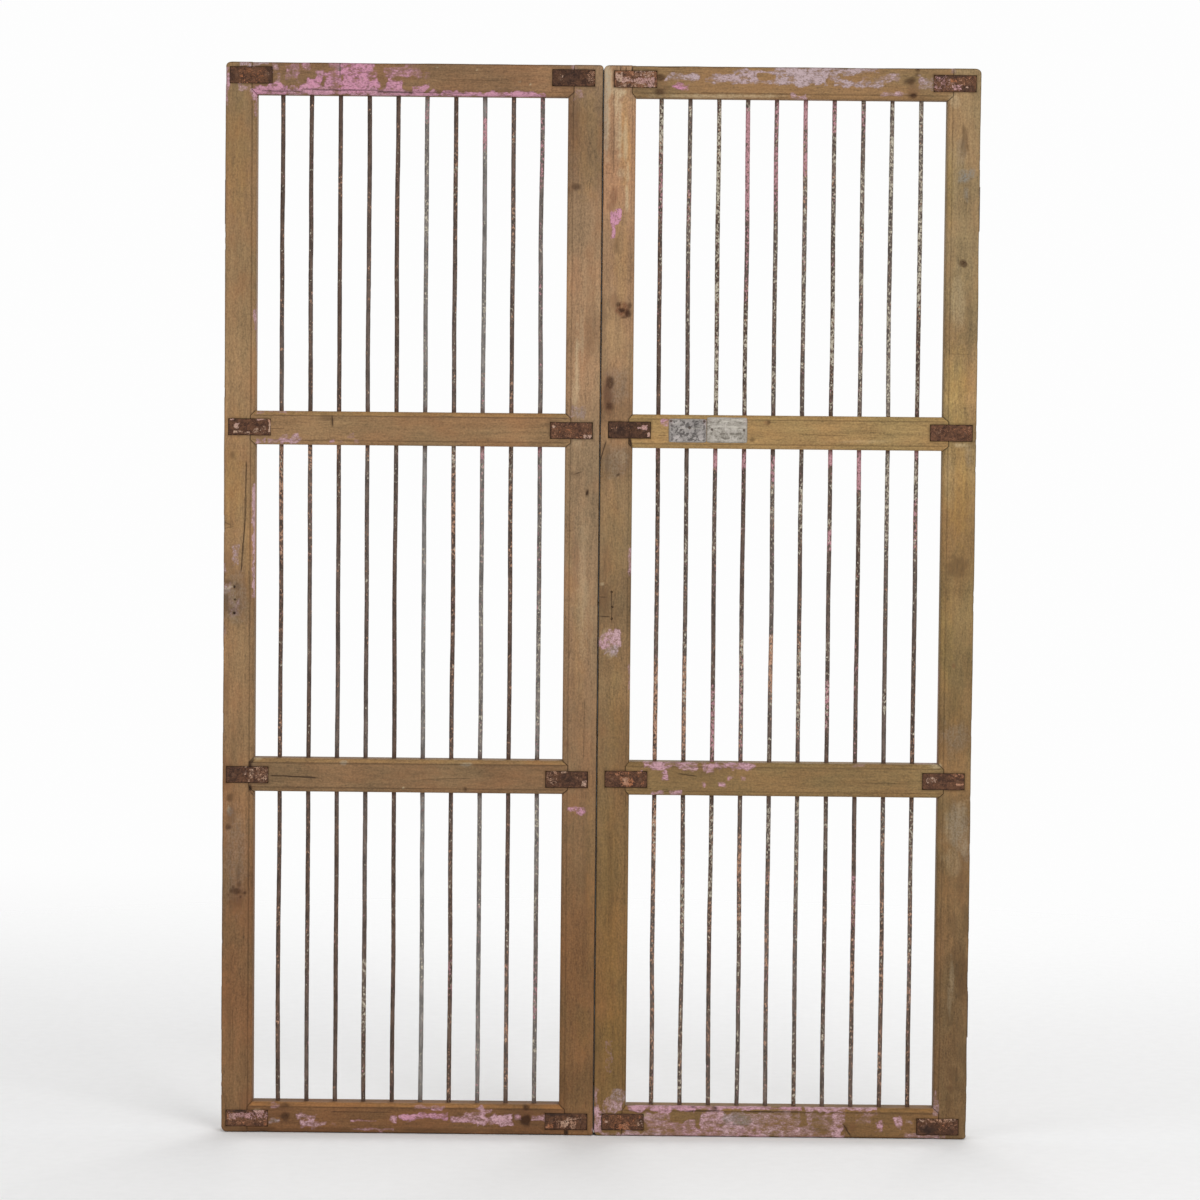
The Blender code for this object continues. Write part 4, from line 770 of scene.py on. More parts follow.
    # darker seams: dirt at the shoulders and mitres and under the straps, a dark line beside the quirk, darker outer
    # arrises and leaf ends, and painted shade in the slit between the meeting stiles
    seam_dirt_and_shade = np.zeros((R, K))
    is_m = (kind == "m")[None, :]
    first_m = int(np.argmax(kind == "m"))
    wall = is_m & (deep > SEAT * 0.30) & (deep < SEAT + 0.001) & (flat < W - 0.0006)
    notched = wall[:, first_m]
    seam_dirt_and_shade[wall & notched[:, None]] = 1.0
    seam_dirt_and_shade[notched, first_m - 1] = 0.75
    seam_dirt_and_shade[(deep > RECESS * 0.5) & is_f[None, :]] = 0.9
    seam_dirt_and_shade[at_mitre[:, None] & is_m] = 0.75
    quirk = np.abs(flat - xs - 0.0002) < 0.00035
    seam_dirt_and_shade = np.maximum(seam_dirt_and_shade, np.where(quirk & ~notched[:, None], QUIRK[leaf.side, which], 0))
    if which == "meet":
        # painted shade in the slit between the leaves: deep on the sides of the meeting edge, on its back corner, and a
        # little on its front arris
        seam_dirt_and_shade[:, is_o] = 0.22 * step(deep[:, is_o], 0.020, 0.035)
        seam_dirt_and_shade[:, int(np.argmax(is_o)) - 1] = 0.6
        seam_dirt_and_shade[:, :3] = np.maximum(seam_dirt_and_shade[:, :3], np.array([0.06, 0.03, 0.0]))
    else:
        seam_dirt_and_shade[:, :3] = np.maximum(seam_dirt_and_shade[:, :3], np.array([0.70, 0.50, 0.22]))
    for gap in (LEAF_H - Z, Z):
        seam_dirt_and_shade = np.maximum(seam_dirt_and_shade, 0.80 * (1 - step(gap, 0.0006, 0.0032)))
    front = np.where(deep < 0.011, 1.0, 0.0)
    values = wood_values(points, front.reshape(-1), seam_dirt_and_shade.reshape(-1))
    values["shade"] = drifts(points, node, 1) * front.reshape(-1)
    if which == "meet":
        # painted highlight: the sides of each meeting edge, inside the slit, painted paler so the slit reads lighter
        values["pale"] = np.maximum(values["pale"], np.where(is_o[None, :] & (deep < 0.036), 0.70, 0).reshape(-1))
    return mesh_piece(node + "_worn", points, faces, maps, 38, values, f"{leaf.side}_leaf", [node])


# --------------------------------------------------------------------------
# Rails: rings along the length, with a mitred tongue at either end
# --------------------------------------------------------------------------
RAIL_QUIRK = {("left", "top"): 0.35, ("left", "upper"): 0.55, ("left", "lower"): 0.60, ("left", "bottom"): 0.55,
              ("right", "top"): 0.45, ("right", "upper"): 0.55, ("right", "lower"): 0.40, ("right", "bottom"): 0.60}


def make_rail(leaf, rail, row_step=0.0025):
    node = f"{leaf.side}_{rail}_rail"
    z0, z1 = RAILS[rail]
    h, T, M = z1 - z0, LEAF_T, MOULD_RAIL
    ends = ("hang", "meet") if leaf.side == "left" else ("meet", "hang")
    inner = [leaf.stile(w)[1] for w in ends]
    wide = [MOULD_STILE[leaf.side, w] for w in ends]
    straps = [leaf.strap(w, rail) for w in ends]
    low_m, high_m = rail != "bottom", rail != "top"
    seed = {"left": 300, "right": 400}[leaf.side] + 10 * ORDER.index(rail)
    n_in = 12

    def moulded(on):
        """Points (depth, rise) of an edge, from the inner face up to the front face."""
        if on:
            curve = [(0.0004 + (MOULD_D - 0.0004) * e, M * (1 - q)) for q, e in OVOLO[::-1]]
            return [(MOULD_D + 0.0006, 0)] + curve + [(0.0006, M - 0.0003), (0, M)]
        return [(0.0062, 0), (0.0046, 0), (0.0030, 0), (0.0014, 0.0004), (0.0004, 0.0014), (0, 0.0030),
                (0, 0.0040), (0, 0.0050)]

    lower, upper = moulded(low_m), moulded(high_m)
    v_lo, v_hi = lower[-1][1], h - upper[-1][1]

    def section(qa, qb, strap):
        p = [(TONGUE_D, 0, "m")] + [(t, v, "m") for t, v in lower]
        bed = RECESS if strap else 0
        for a, b, hollow, n in ((v_lo, qa - EPS, 0, 3), (qa + EPS, qb - EPS, bed, n_in), (qb + EPS, v_hi, 0, 3)):
            first = 1 if a == v_lo else 0
            last = n if b == v_hi else n + 1
            for j in range(first, last):
                p.append((hollow, a + (b - a) * j / n, "f"))
        p += [(t, h - v, "m") for t, v in upper[::-1]] + [(TONGUE_D, h, "m")]
        f1 = len(p) - 1
        p += [(t, h, "i") for t in (0.014, 0.020, 0.026, 0.033)]
        p += [(T - 0.0014, h, "i"), (T - 0.0004, h - 0.0004, "b"), (T, h - 0.0014, "b")]
        nb = 7
        p += [(T, h - 0.0014 - (h - 0.0028) * j / nb, "b") for j in range(1, nb)]
        p += [(T, 0.0014, "b"), (T - 0.0004, 0.0004, "b"), (T - 0.0014, 0, "i")]
        p += [(t, 0, "i") for t in (0.033, 0.026, 0.020, 0.014)]
        return (np.array([q[0] for q in p]), np.array([q[1] for q in p]),
                np.array([q[2] for q in p]), f1)

    rings = []

    def span(x0, x1, qa, qb, strap):
        n = max(1, math.ceil((x1 - x0) / row_step))
        for j in range(n + 1):
            f = j / n
            t, v, _, _ = section(qa[0] * (1 - f) + qb[0] * f, qa[1] * (1 - f) + qb[1] * f, strap)
            rings.append((np.full(len(t), x0 * (1 - f) + x1 * f), t, v))

    rows = [(q0 - GAP - z0, q1 + GAP - z0) for _, (q0, q1) in straps]
    xa, xb = straps[0][0][1] + GAP, straps[1][0][0] - GAP
    span(inner[0] + GAP, xa - EPS, rows[0], rows[0], True)
    span(xa + EPS, xb - EPS, rows[0], rows[1], False)
    span(xb + EPS, inner[1] - GAP, rows[1], rows[1], True)
    _, _, kind, f1 = section(*rows[0], False)

    X = np.array([r[0] for r in rings])
    D = np.array([r[1] for r in rings])
    V = np.array([r[2] for r in rings])
    P = np.stack([X, Y_FRONT + D, z0 + V], -1)
    bare = (D < 0.0004) & (kind == "f")[None, :]
    swell = fbm(P, (4.5, 1, 16), seed) * 0.00030 + fbm(P, (9, 1, 120), seed + 3) * 0.00012
    P[..., 1] += np.where(bare, np.maximum(swell, -0.00022), 0)
    line = np.stack([P[..., 0], 0 * X, 0 * X], -1)
    rub = step(fbm(P, (24, 30, 30), seed + 8, 2), 0.1, 0.9) * 0.0012
    P[..., 1] += np.where((kind == "m")[None, :] & (D < TONGUE_D - 0.0003) & (D > 0.0005), rub, 0)
    nick = step(fbm(line, (40, 1, 1), seed + 6, 2), 0.40, 0.85) * 0.0018
    wave = np.maximum(fbm(line, (11, 1, 1), seed + 5, 4) + 0.5, 0) * 0.0008
    for on, sign, at in ((low_m, 1, 0.0), (high_m, -1, h)):
        if not on:      # the long outside edge of the top and the bottom rail
            near = (np.abs(V - at) < 0.0016)
            P[..., 2] += sign * np.where(near & (D < 0.034), wave, 0)
            P[..., 2] += sign * np.where((np.abs(V - at) < 0.0034) & (D < 0.0034), nick * 0.7, 0)
            P[..., 1] += np.where((np.abs(V - at) < 0.0034) & (D < 0.0034), nick * 0.5, 0)
    P[..., 1] -= np.where((D > T - 0.0002), np.maximum(fbm(P, (6, 1, 14), seed + 12), 0) * 0.0006, 0)
    hollows(P, bare, node)

    R, K = X.shape
    nf = f1 + 1
    points = [P.reshape(-1, 3)]
    loop = np.concatenate([P[R // 2, :, 1:], P[R // 2, :1, 1:]])
    girth = np.concatenate([[0], np.cumsum(np.linalg.norm(np.diff(loop, axis=0), axis=1))])
    maps = [tube_maps(X.mean(1), girth, 2, 0.10)]
    faces, more_maps, seams = tube_faces(R, K).tolist(), [], []
    count = R * K
    for e, (ring, sign) in enumerate(((0, 1), (R - 1, -1))):
        base = ring * K
        share = np.ones(nf)
        if low_m:
            share = np.minimum(share, V[ring, :nf] / M)
        if high_m:
            share = np.minimum(share, (h - V[ring, :nf]) / M)
        length = np.maximum(wide[e] * np.clip(share, 0, 1), 0.00006)
        near, tip = P[ring, :nf].copy(), P[ring, :nf].copy()
        tip[:, 0] = inner[e] - sign * length
        near[:, 0] = inner[e] - sign * np.maximum(length - 0.0014, length * 0.4)
        points += [near, tip]
        seams += [np.full(nf, 0.0), np.full(nf, 0.80)]
        for k in range(nf - 1):
            for i, (a, b) in enumerate(((base, count), (count, count + nf))):
                faces.append([a + k, a + k + 1, b + k + 1, b + k])
                u = 0.905 + 0.045 * i + 0.045 * np.array([0, 0, 1, 1])
                w = (0.02 + 0.46 * e) + 0.20 * np.array([k, k + 1, k + 1, k]) / nf
                more_maps.append(np.stack([u, w], -1))
        under = [base, count, count + nf, count + 2 * nf - 1, count + nf - 1, base + nf - 1]
        faces.append(under)
        y = 0.24 + 0.46 * e
        more_maps.append(np.array([(0.905, y), (0.915, y), (0.925, y), (0.925, y + 0.04), (0.915, y + 0.04), (0.905, y + 0.04)]))
        faces.append([count + nf + k for k in range(nf)])
        more_maps.append(flat_maps(tip[:, 1:] * [3, 1], np.array([0.94, y]), 0.05))
        back = [base + k for k in range(f1, K)] + [base]
        faces.append(back)
        more_maps.append(flat_maps(P[ring][[k - base for k in back]][:, 1:], np.array([0.905, 0.32 + 0.46 * e]), 0.08))
        count += 2 * nf
    points = np.concatenate(points)
    maps = np.concatenate(maps + more_maps)
    seam_dirt_and_shade = np.zeros((R, K))
    seam_dirt_and_shade[(D > RECESS * 0.5) & (kind == "f")[None, :]] = 0.9
    for edge_on, at in ((low_m, M - 0.0002), (high_m, h - M + 0.0002)):
        if edge_on:
            seam_dirt_and_shade = np.maximum(seam_dirt_and_shade, np.where(np.abs(V - at) < 0.00035, RAIL_QUIRK[leaf.side, rail], 0))
        else:
            rise = np.abs(V - (0.0 if at < h / 2 else h))
            seam_dirt_and_shade = np.maximum(seam_dirt_and_shade, np.where(D < 0.012, 0.80 * (1 - step(rise, 0.0006, 0.0034)), 0))
    front = np.concatenate([np.where(D < 0.011, 1.0, 0.0).reshape(-1), np.ones(len(points) - R * K)])
    values = wood_values(points, front, np.concatenate([seam_dirt_and_shade.reshape(-1)] + seams))
    # painted highlight: the upward-facing upper moulding of a rail painted lighter and more golden
    highlight_band = front * step(points[:, 2], z1 - M + 0.0004, z1 - M + 0.0014) if high_m else 0 * front
    values["shade"] = drifts(points, node, 0) * front + UPPER_MOULDING_HIGHLIGHT.get(node, 0.0) * highlight_band
    values["gold_and_highlight"] = np.maximum(values["gold_and_highlight"], highlight_band * (0.7 if node in UPPER_MOULDING_HIGHLIGHT else 0.2))
    return mesh_piece(node + "_worn", points, faces, maps, 38, values, f"{leaf.side}_leaf", [node])


# --------------------------------------------------------------------------
# Plates: a fine grid in front, a rim and a flat back
# --------------------------------------------------------------------------
def plate(name, node, xs, zs, front_y, back_y, body, values, sharp=50):
    """xs, zs: grid places (rows, columns); front_y: depth of each front point."""
    nz, nx = xs.shape
    front = np.stack([xs, front_y, zs], -1).reshape(-1, 3)
    ring = ([(0, i) for i in range(nx)] + [(j, nx - 1) for j in range(1, nz)]
            + [(nz - 1, i) for i in range(nx - 2, -1, -1)] + [(j, 0) for j in range(nz - 2, 0, -1)])
    index = [j * nx + i for j, i in ring]
    rear = front[index].copy()
    rear[:, 1] = back_y
    points = np.concatenate([front, rear])
    j, i = np.mgrid[0:nz - 1, 0:nx - 1]
    a = (j * nx + i).reshape(-1)
    quads = np.stack([a, a + 1, a + nx + 1, a + nx], -1)
    base, n = nx * nz, len(ring)
    faces = quads.tolist()
    grid = np.stack([(xs - xs.min()) / np.ptp(xs), (zs - zs.min()) / np.ptp(zs)], -1).reshape(-1, 2)
    shown = np.array([0.02, 0.22]) + grid * np.array([0.96, 0.76])
    maps = [shown[quads].reshape(-1, 2)]
    for k in range(n):
        k1 = (k + 1) % n
        faces.append([index[k], index[k1], base + k1, base + k])
        u0, u1 = 0.02 + 0.60 * k / n, 0.02 + 0.60 * (k + 1) / n
        maps.append(np.array([(u0, 0.10), (u1, 0.10), (u1, 0.17), (u0, 0.17)]))
    faces.append([base + k for k in range(n)])
    maps.append(flat_maps(rear[:, [0, 2]], np.array([0.66, 0.02]), 0.30) * [1, 0.5])
    shown_values = {k: np.concatenate([v.reshape(-1), v.reshape(-1)[index]]) for k, v in values.items()}
    return mesh_piece(name, points, faces, np.concatenate(maps), sharp, shown_values, body, [node])


def make_strap(leaf, which, rail):
    node = f"{leaf.side}_{rail}_{WORD[which]}_strap"
    (x0, x1), (z0, z1) = leaf.strap(which, rail)
    seed = 500 + 37 * ORDER.index(rail) + (5 if which == "hang" else 9) + (200 if leaf.side == "right" else 0)
    nx, nz = 73, 31
    # closer rows at the rim
    gx, gz = np.linspace(0, 1, nx), np.linspace(0, 1, nz)
    gx, gz = gx - np.sin(2 * np.pi * gx) * 0.030, gz - np.sin(2 * np.pi * gz) * 0.05
    U, Q = np.meshgrid(gx, gz)
    X, Z = x0 + (x1 - x0) * U, z0 + (z1 - z0) * Q
    at = np.stack([X, 0 * X + seed * 0.01, Z], -1)
    # ragged outline, pulled in only
    ragx = np.maximum(fbm(at, (1, 1, 160), seed) + 0.5, 0) * 0.00055
    ragz = np.maximum(fbm(at, (110, 1, 1), seed + 1) + 0.5, 0) * 0.00060
    X = X + np.where(U < 0.5, 1, -1) * ragx * np.abs(2 * U - 1) ** 6
    Z = Z + np.where(Q < 0.5, 1, -1) * ragz * np.abs(2 * Q - 1) ** 6
    corner = (np.abs(2 * U - 1) ** 14) * (np.abs(2 * Q - 1) ** 8) * 0.0012
    X, Z = X - np.sign(U - 0.5) * corner, Z - np.sign(Q - 0.5) * corner
    face = Y_FRONT - STRAP_PROUD
    rim = np.minimum(np.minimum(X - x0, x1 - X), np.minimum(Z - z0, z1 - Z))
    pits = fbm(at, (130, 1, 130), seed + 2, 4)
    Y = face + 0.00034 * np.maximum(pits, -0.2) + 0.0007 * (1 - step(rim, 0.0, 0.0024)) \
        + 0.00050 * step(fbm(at, (60, 1, 60), seed + 4, 3), 0.2, 0.7)
    nails = np.zeros(X.shape)
    for x in (x0 + NAIL_INSET, x1 - NAIL_INSET):
        r = np.hypot(X - x, Z - (z0 + z1) / 2) / NAIL_R
        dome = np.sqrt(np.maximum(1 - np.minimum(r, 1) ** 2 * 0.9, 0)) * (r < 1)
        Y = np.where(r < 1, face + 0.00015 - 0.00080 * dome, Y)
        Y = np.where((r >= 1) & (r < 1.35), np.maximum(Y, face + 0.00025), Y)
        nails = np.maximum(nails, (r < 1.02) * 1.0)
    u, v = in_view(np.stack([X, Y, Z], -1))
    lay, hue = ragged(u, v, FLAKES, seed + 40, 0.7, 0.22)
    hue = np.clip(hue + 0.22 * fbm(at, (70, 1, 70), seed + 8, 2), 0, 1)
    dark = spots(u, v, STRAP_DARK, seed + 50)
    values = {"paint": lay, "hue": hue, "tone": np.full(X.shape, STRAP_TONE[leaf.side, rail, which]),
              "nail": nails, "dark": dark, "rim": (1 - step(rim, 0.0002, 0.0022)) * (0.30 if (leaf.side, rail, which) in BLURRED else 1.0)}
    return plate(node + "_rusted", node, X, Z, Y, face + STRAP_T, f"{leaf.side}_leaf", values)


def make_tin(node, dark):
    lo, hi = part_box(node)
    seed = 900 if dark else 950
    nx, nz = 120, 80
    U, Q = np.meshgrid(np.linspace(0, 1, nx), np.linspace(0, 1, nz))
    X, Z = lo.x + (hi.x - lo.x) * U, lo.z + (hi.z - lo.z) * Q
    at = np.stack([X, 0 * X, Z], -1)
    corner = (np.abs(2 * U - 1) ** 16) * (np.abs(2 * Q - 1) ** 12) * 0.0011
    X, Z = X - np.sign(U - 0.5) * corner, Z - np.sign(Q - 0.5) * corner
    rag = fbm(at, (70, 1, 70), seed + 1, 3) * 0.0004
    X = X - np.sign(U - 0.5) * np.abs(rag) * np.abs(2 * U - 1) ** 10
    Z = Z - np.sign(Q - 0.5) * np.abs(rag) * np.abs(2 * Q - 1) ** 10
    rim = np.minimum(np.minimum(X - lo.x, hi.x - X), np.minimum(Z - lo.z, hi.z - Z))
    Y = lo.y + 0.00008 + 0.00016 * fbm(at, (45, 1, 45), seed + 2, 3)
    Y += 0.00025 * (1 - step(rim, 0.0, 0.0012))
    Y -= 0.00020 * np.exp(-((rim - 0.0030) / 0.0007) ** 2)          # pressed bead round the edge
    worn = fbm(at, (150, 1, 210), seed + 5, 3)
    Y += 0.00012 * step(worn, 0.12, 0.5) * (rim > 0.005)
    if dark:      # scratches and dents all over
        mark = step(fbm(at, (250, 1, 260), seed + 7, 4), 0.04, 0.30) * (rim > 0.003)
    else:         # two rows of blurred bumps low down, a line above
        rows_on = np.maximum(np.exp(-((Q - 0.17) / 0.055) ** 2), np.exp(-((Q - 0.36) / 0.055) ** 2))
        rows_on = np.maximum(rows_on, 0.8 * np.exp(-((Q - 0.80) / 0.05) ** 2))
        mark = rows_on * step(fbm(at, (240, 1, 170), seed + 7, 3), -0.05, 0.26) * (rim > 0.004)
        mark = np.maximum(mark, 0.5 * step(fbm(at, (300, 1, 300), seed + 9, 3), 0.25, 0.5) * (rim > 0.004))
    Y += 0.00020 * mark
    chalk = step(fbm(at, (60, 1, 330), seed + 12, 3), 0.02, 0.40) * step(Q, 0.42, 0.55) * (0.25 if dark else 0.8)
    nails = np.zeros(X.shape)
    places = ((0.13, 0.52), (0.92, 0.50)) if not dark else ((0.55, 0.62), (0.06, 0.90), (0.94, 0.90))
    for a, b in places:
        r = np.hypot(X - (lo.x + (hi.x - lo.x) * a), Z - (lo.z + (hi.z - lo.z) * b)) / 0.0020
        Y = np.where(r < 1, lo.y - 0.00040 * np.sqrt(np.maximum(1 - r * r, 0)), Y)
        Y = np.where((r >= 1) & (r < 2.4), Y + 0.0003 * (2.4 - r) / 1.4, Y)
        nails = np.maximum(nails, 1 - step(r, 0.8, 1.5))
    values = {"nail": nails, "mark": mark, "worn": step(worn, 0.0, 0.45), "chalk": chalk, "rim": 1 - step(rim, 0.0004, 0.0032),
              "corner": step(np.abs(2 * U - 1), 0.7, 1.0) * step(Q, 0.6, 0.95)}
    return plate(node + "_pressed", node, X, Z, Y, hi.y, "right_leaf",
                 values)


def make_bar(leaf, number, x):
    node = f"{leaf.side}_bar_{number:02d}"
    seed = 1200 + number * 13 + (400 if leaf.side == "right" else 0)
    z0, z1 = RAILS["bottom"][1] - BAR_SINK, RAILS["top"][0] + BAR_SINK
    sides, rows = 14, 460
    z = np.linspace(z0, z1, rows)
    a = 2 * np.pi * np.arange(sides) / sides
    # a hand-drawn bar: it wanders a little between the rails that hold it
    hold = np.ones(rows)
    for low, high in zip(ORDER, ORDER[1:]):
        b0, b1 = RAILS[low][1], RAILS[high][0]
        inside = (z > b0) & (z < b1)
        hold[inside] = 1 - np.sin(np.pi * (z[inside] - b0) / (b1 - b0)) ** 0.6
    line = np.stack([0 * z, 0 * z + seed, z], -1)
    bow = (1 - hold) * fbm(line, (1, 1, 3.2), seed, 3) * 0.0018
    back = (1 - hold) * fbm(line, (1, 1, 2.6), seed + 3, 2) * 0.0012
    C, Zz = np.meshgrid(a, z)
    around = np.stack([np.cos(C) * 0.004, np.sin(C) * 0.004, Zz], -1) + np.array([0, seed * 0.013, 0])
    radius = BAR_R * (0.965 + 0.05 * fbm(line, (1, 1, 16), seed + 5, 3)[:, None]) \
        + 0.00022 * fbm(around, (210, 210, 90), seed + 6, 3) \
        - 0.00018 * step(fbm(around, (160, 160, 60), seed + 7, 3), 0.25, 0.6)
    P = np.stack([x + bow[:, None] + radius * np.cos(C), Y_MID + back[:, None] + radius * np.sin(C), Zz], -1)
    points = P.reshape(-1, 3)
    faces = tube_faces(rows, sides).tolist() + [list(range(sides))[::-1],
                                               [(rows - 1) * sides + k for k in range(sides)]]
    maps = np.concatenate([tube_maps(z, np.linspace(0, 1, sides + 1), 8),
                           flat_maps(P[0][::-1][:, :2], np.array([0.945, 0.01]), 0.04),
                           flat_maps(P[-1][:, :2], np.array([0.945, 0.2]), 0.04)])
    grey, orange, cream, pink, zones = BAR_LOOK[leaf.side][number - 1]
    _, v = in_view(np.stack([0 * z + x, 0 * z + Y_MID, z], -1))
    shares = {"o": np.full(rows, orange), "c": np.full(rows, cream), "p": np.full(rows, pink)}
    for top, bottom, kind, much in zones:
        inside = step(v, top - 6, top + 3) * (1 - step(v, bottom - 3, bottom + 10))
        shares[kind] = np.maximum(shares[kind], much * inside)
    drift = [fbm(line, (1, 1, 7.0), seed + 8 + i, 3) * 0.12 + fbm(line, (1, 1, 55.0), seed + 28 + i, 3) * 0.18
             for i in range(3)]
    whole = np.ones((1, sides))
    values = {key: ((shares[kind] + drift[i])[:, None] * whole).reshape(-1)
              for i, (key, kind) in enumerate((("orange", "o"), ("cream", "c"), ("pink", "p")))}
    # rust stains and painted shade where a bar enters a rail
    entry_rust_and_shade = np.zeros(rows)
    for z_edge in [q for r in RAILS.values() for q in r]:
        entry_rust_and_shade = np.maximum(entry_rust_and_shade, 1 - step(np.abs(z - z_edge), 0.002, 0.014))
    values["rust_and_entry_shade"] = (entry_rust_and_shade[:, None] * whole).reshape(-1)
    values["grey"] = (np.clip(grey + 0.25 * fbm(line, (1, 1, 3.0), seed + 12, 2), 0, 1)[:, None] * whole).reshape(-1)
    return mesh_piece(node + "_drawn", points, faces, maps, 60, values, f"{leaf.side}_leaf", [node])


# --------------------------------------------------------------------------
# Materials
# --------------------------------------------------------------------------
def linear(r, g, b):
    def one(c):
        c /= 255
        return c / 12.92 if c <= 0.04045 else ((c + 0.055) / 1.055) ** 2.4
    return one(r), one(g), one(b), 1.0


class Shader:
    """Short hands for building one procedural material."""

    def __init__(self, name):
        self.mat = bpy.data.materials.new(name)
        self.mat.use_nodes = True
        self.tree = self.mat.node_tree
        self.bsdf = self.tree.nodes["Principled BSDF"]

    def node(self, kind, **settings):
        n = self.tree.nodes.new(kind)
        for key, value in settings.items():
            setattr(n, key, value)
        return n

    def put(self, socket, value):
        if isinstance(value, bpy.types.NodeSocket):
            self.tree.links.new(value, socket)
        elif isinstance(value, tuple) and socket.type == "RGBA" and len(value) == 3:
            socket.default_value = (*value, 1.0)
        else:
            socket.default_value = value

    def math(self, op, a, b=0.0, c=0.0, clamp=False):
        n = self.node("ShaderNodeMath", operation=op, use_clamp=clamp)
        for i, value in enumerate((a, b, c)):
            self.put(n.inputs[i], value)
        return n.outputs[0]

    def mix(self, share, a, b, blend="MIX"):
        n = self.node("ShaderNodeMix", data_type="RGBA", blend_type=blend)
        self.put(n.inputs[0], share)
        self.put(n.inputs[6], a)
        self.put(n.inputs[7], b)
        return n.outputs[2]

    def noise(self, at, scale, detail=3.0, rough=0.55, warp=0.0):
        n = self.node("ShaderNodeTexNoise")
        self.put(n.inputs["Vector"], at)
        n.inputs["Scale"].default_value = scale
        n.inputs["Detail"].default_value = detail
        n.inputs["Roughness"].default_value = rough
        n.inputs["Distortion"].default_value = warp
        return n.outputs[0]

    def spread(self, value, a, b, c=0.0, d=1.0, smooth=True):
        n = self.node("ShaderNodeMapRange", interpolation_type="SMOOTHSTEP" if smooth else "LINEAR")
        self.put(n.inputs[0], value)
        for i, x in enumerate((a, b, c, d), 1):
            self.put(n.inputs[i], x)
        return n.outputs[0]

    def scaled(self, at, factors, shift=(0, 0, 0)):
        n = self.node("ShaderNodeMapping")
        self.put(n.inputs["Vector"], at)
        n.inputs["Scale"].default_value = factors
        n.inputs["Location"].default_value = shift
        return n.outputs[0]

    def vector(self, op, a, b):
        n = self.node("ShaderNodeVectorMath", operation=op)
        self.put(n.inputs[0], a)
        self.put(n.inputs[1], b)
        return n.outputs["Value"] if op in ("DOT_PRODUCT", "DISTANCE") else n.outputs[0]

    def grey(self, value):
        n = self.node("ShaderNodeCombineColor")
        for i in range(3):
            self.put(n.inputs[i], value)
        return n.outputs[0]

    def value(self, name):
        n = self.node("ShaderNodeAttribute", attribute_type="GEOMETRY", attribute_name=name)
        return n.outputs["Fac"]

    def place(self):
        return self.node("ShaderNodeTexCoord").outputs["Object"]

    def bump(self, height, distance, strength):
        n = self.node("ShaderNodeBump")
        self.put(n.inputs["Height"], height)
        n.inputs["Distance"].default_value = distance
        n.inputs["Strength"].default_value = strength
        return n.outputs[0]

    def finish(self, colour, rough, normal=None, metal=0.0, shine=0.35):
        self.put(self.bsdf.inputs["Base Color"], colour)
        self.put(self.bsdf.inputs["Roughness"], rough)
        self.bsdf.inputs["Metallic"].default_value = metal
        self.bsdf.inputs["Specular IOR Level"].default_value = shine
        if normal is not None:
            self.put(self.bsdf.inputs["Normal"], normal)
        return self.mat


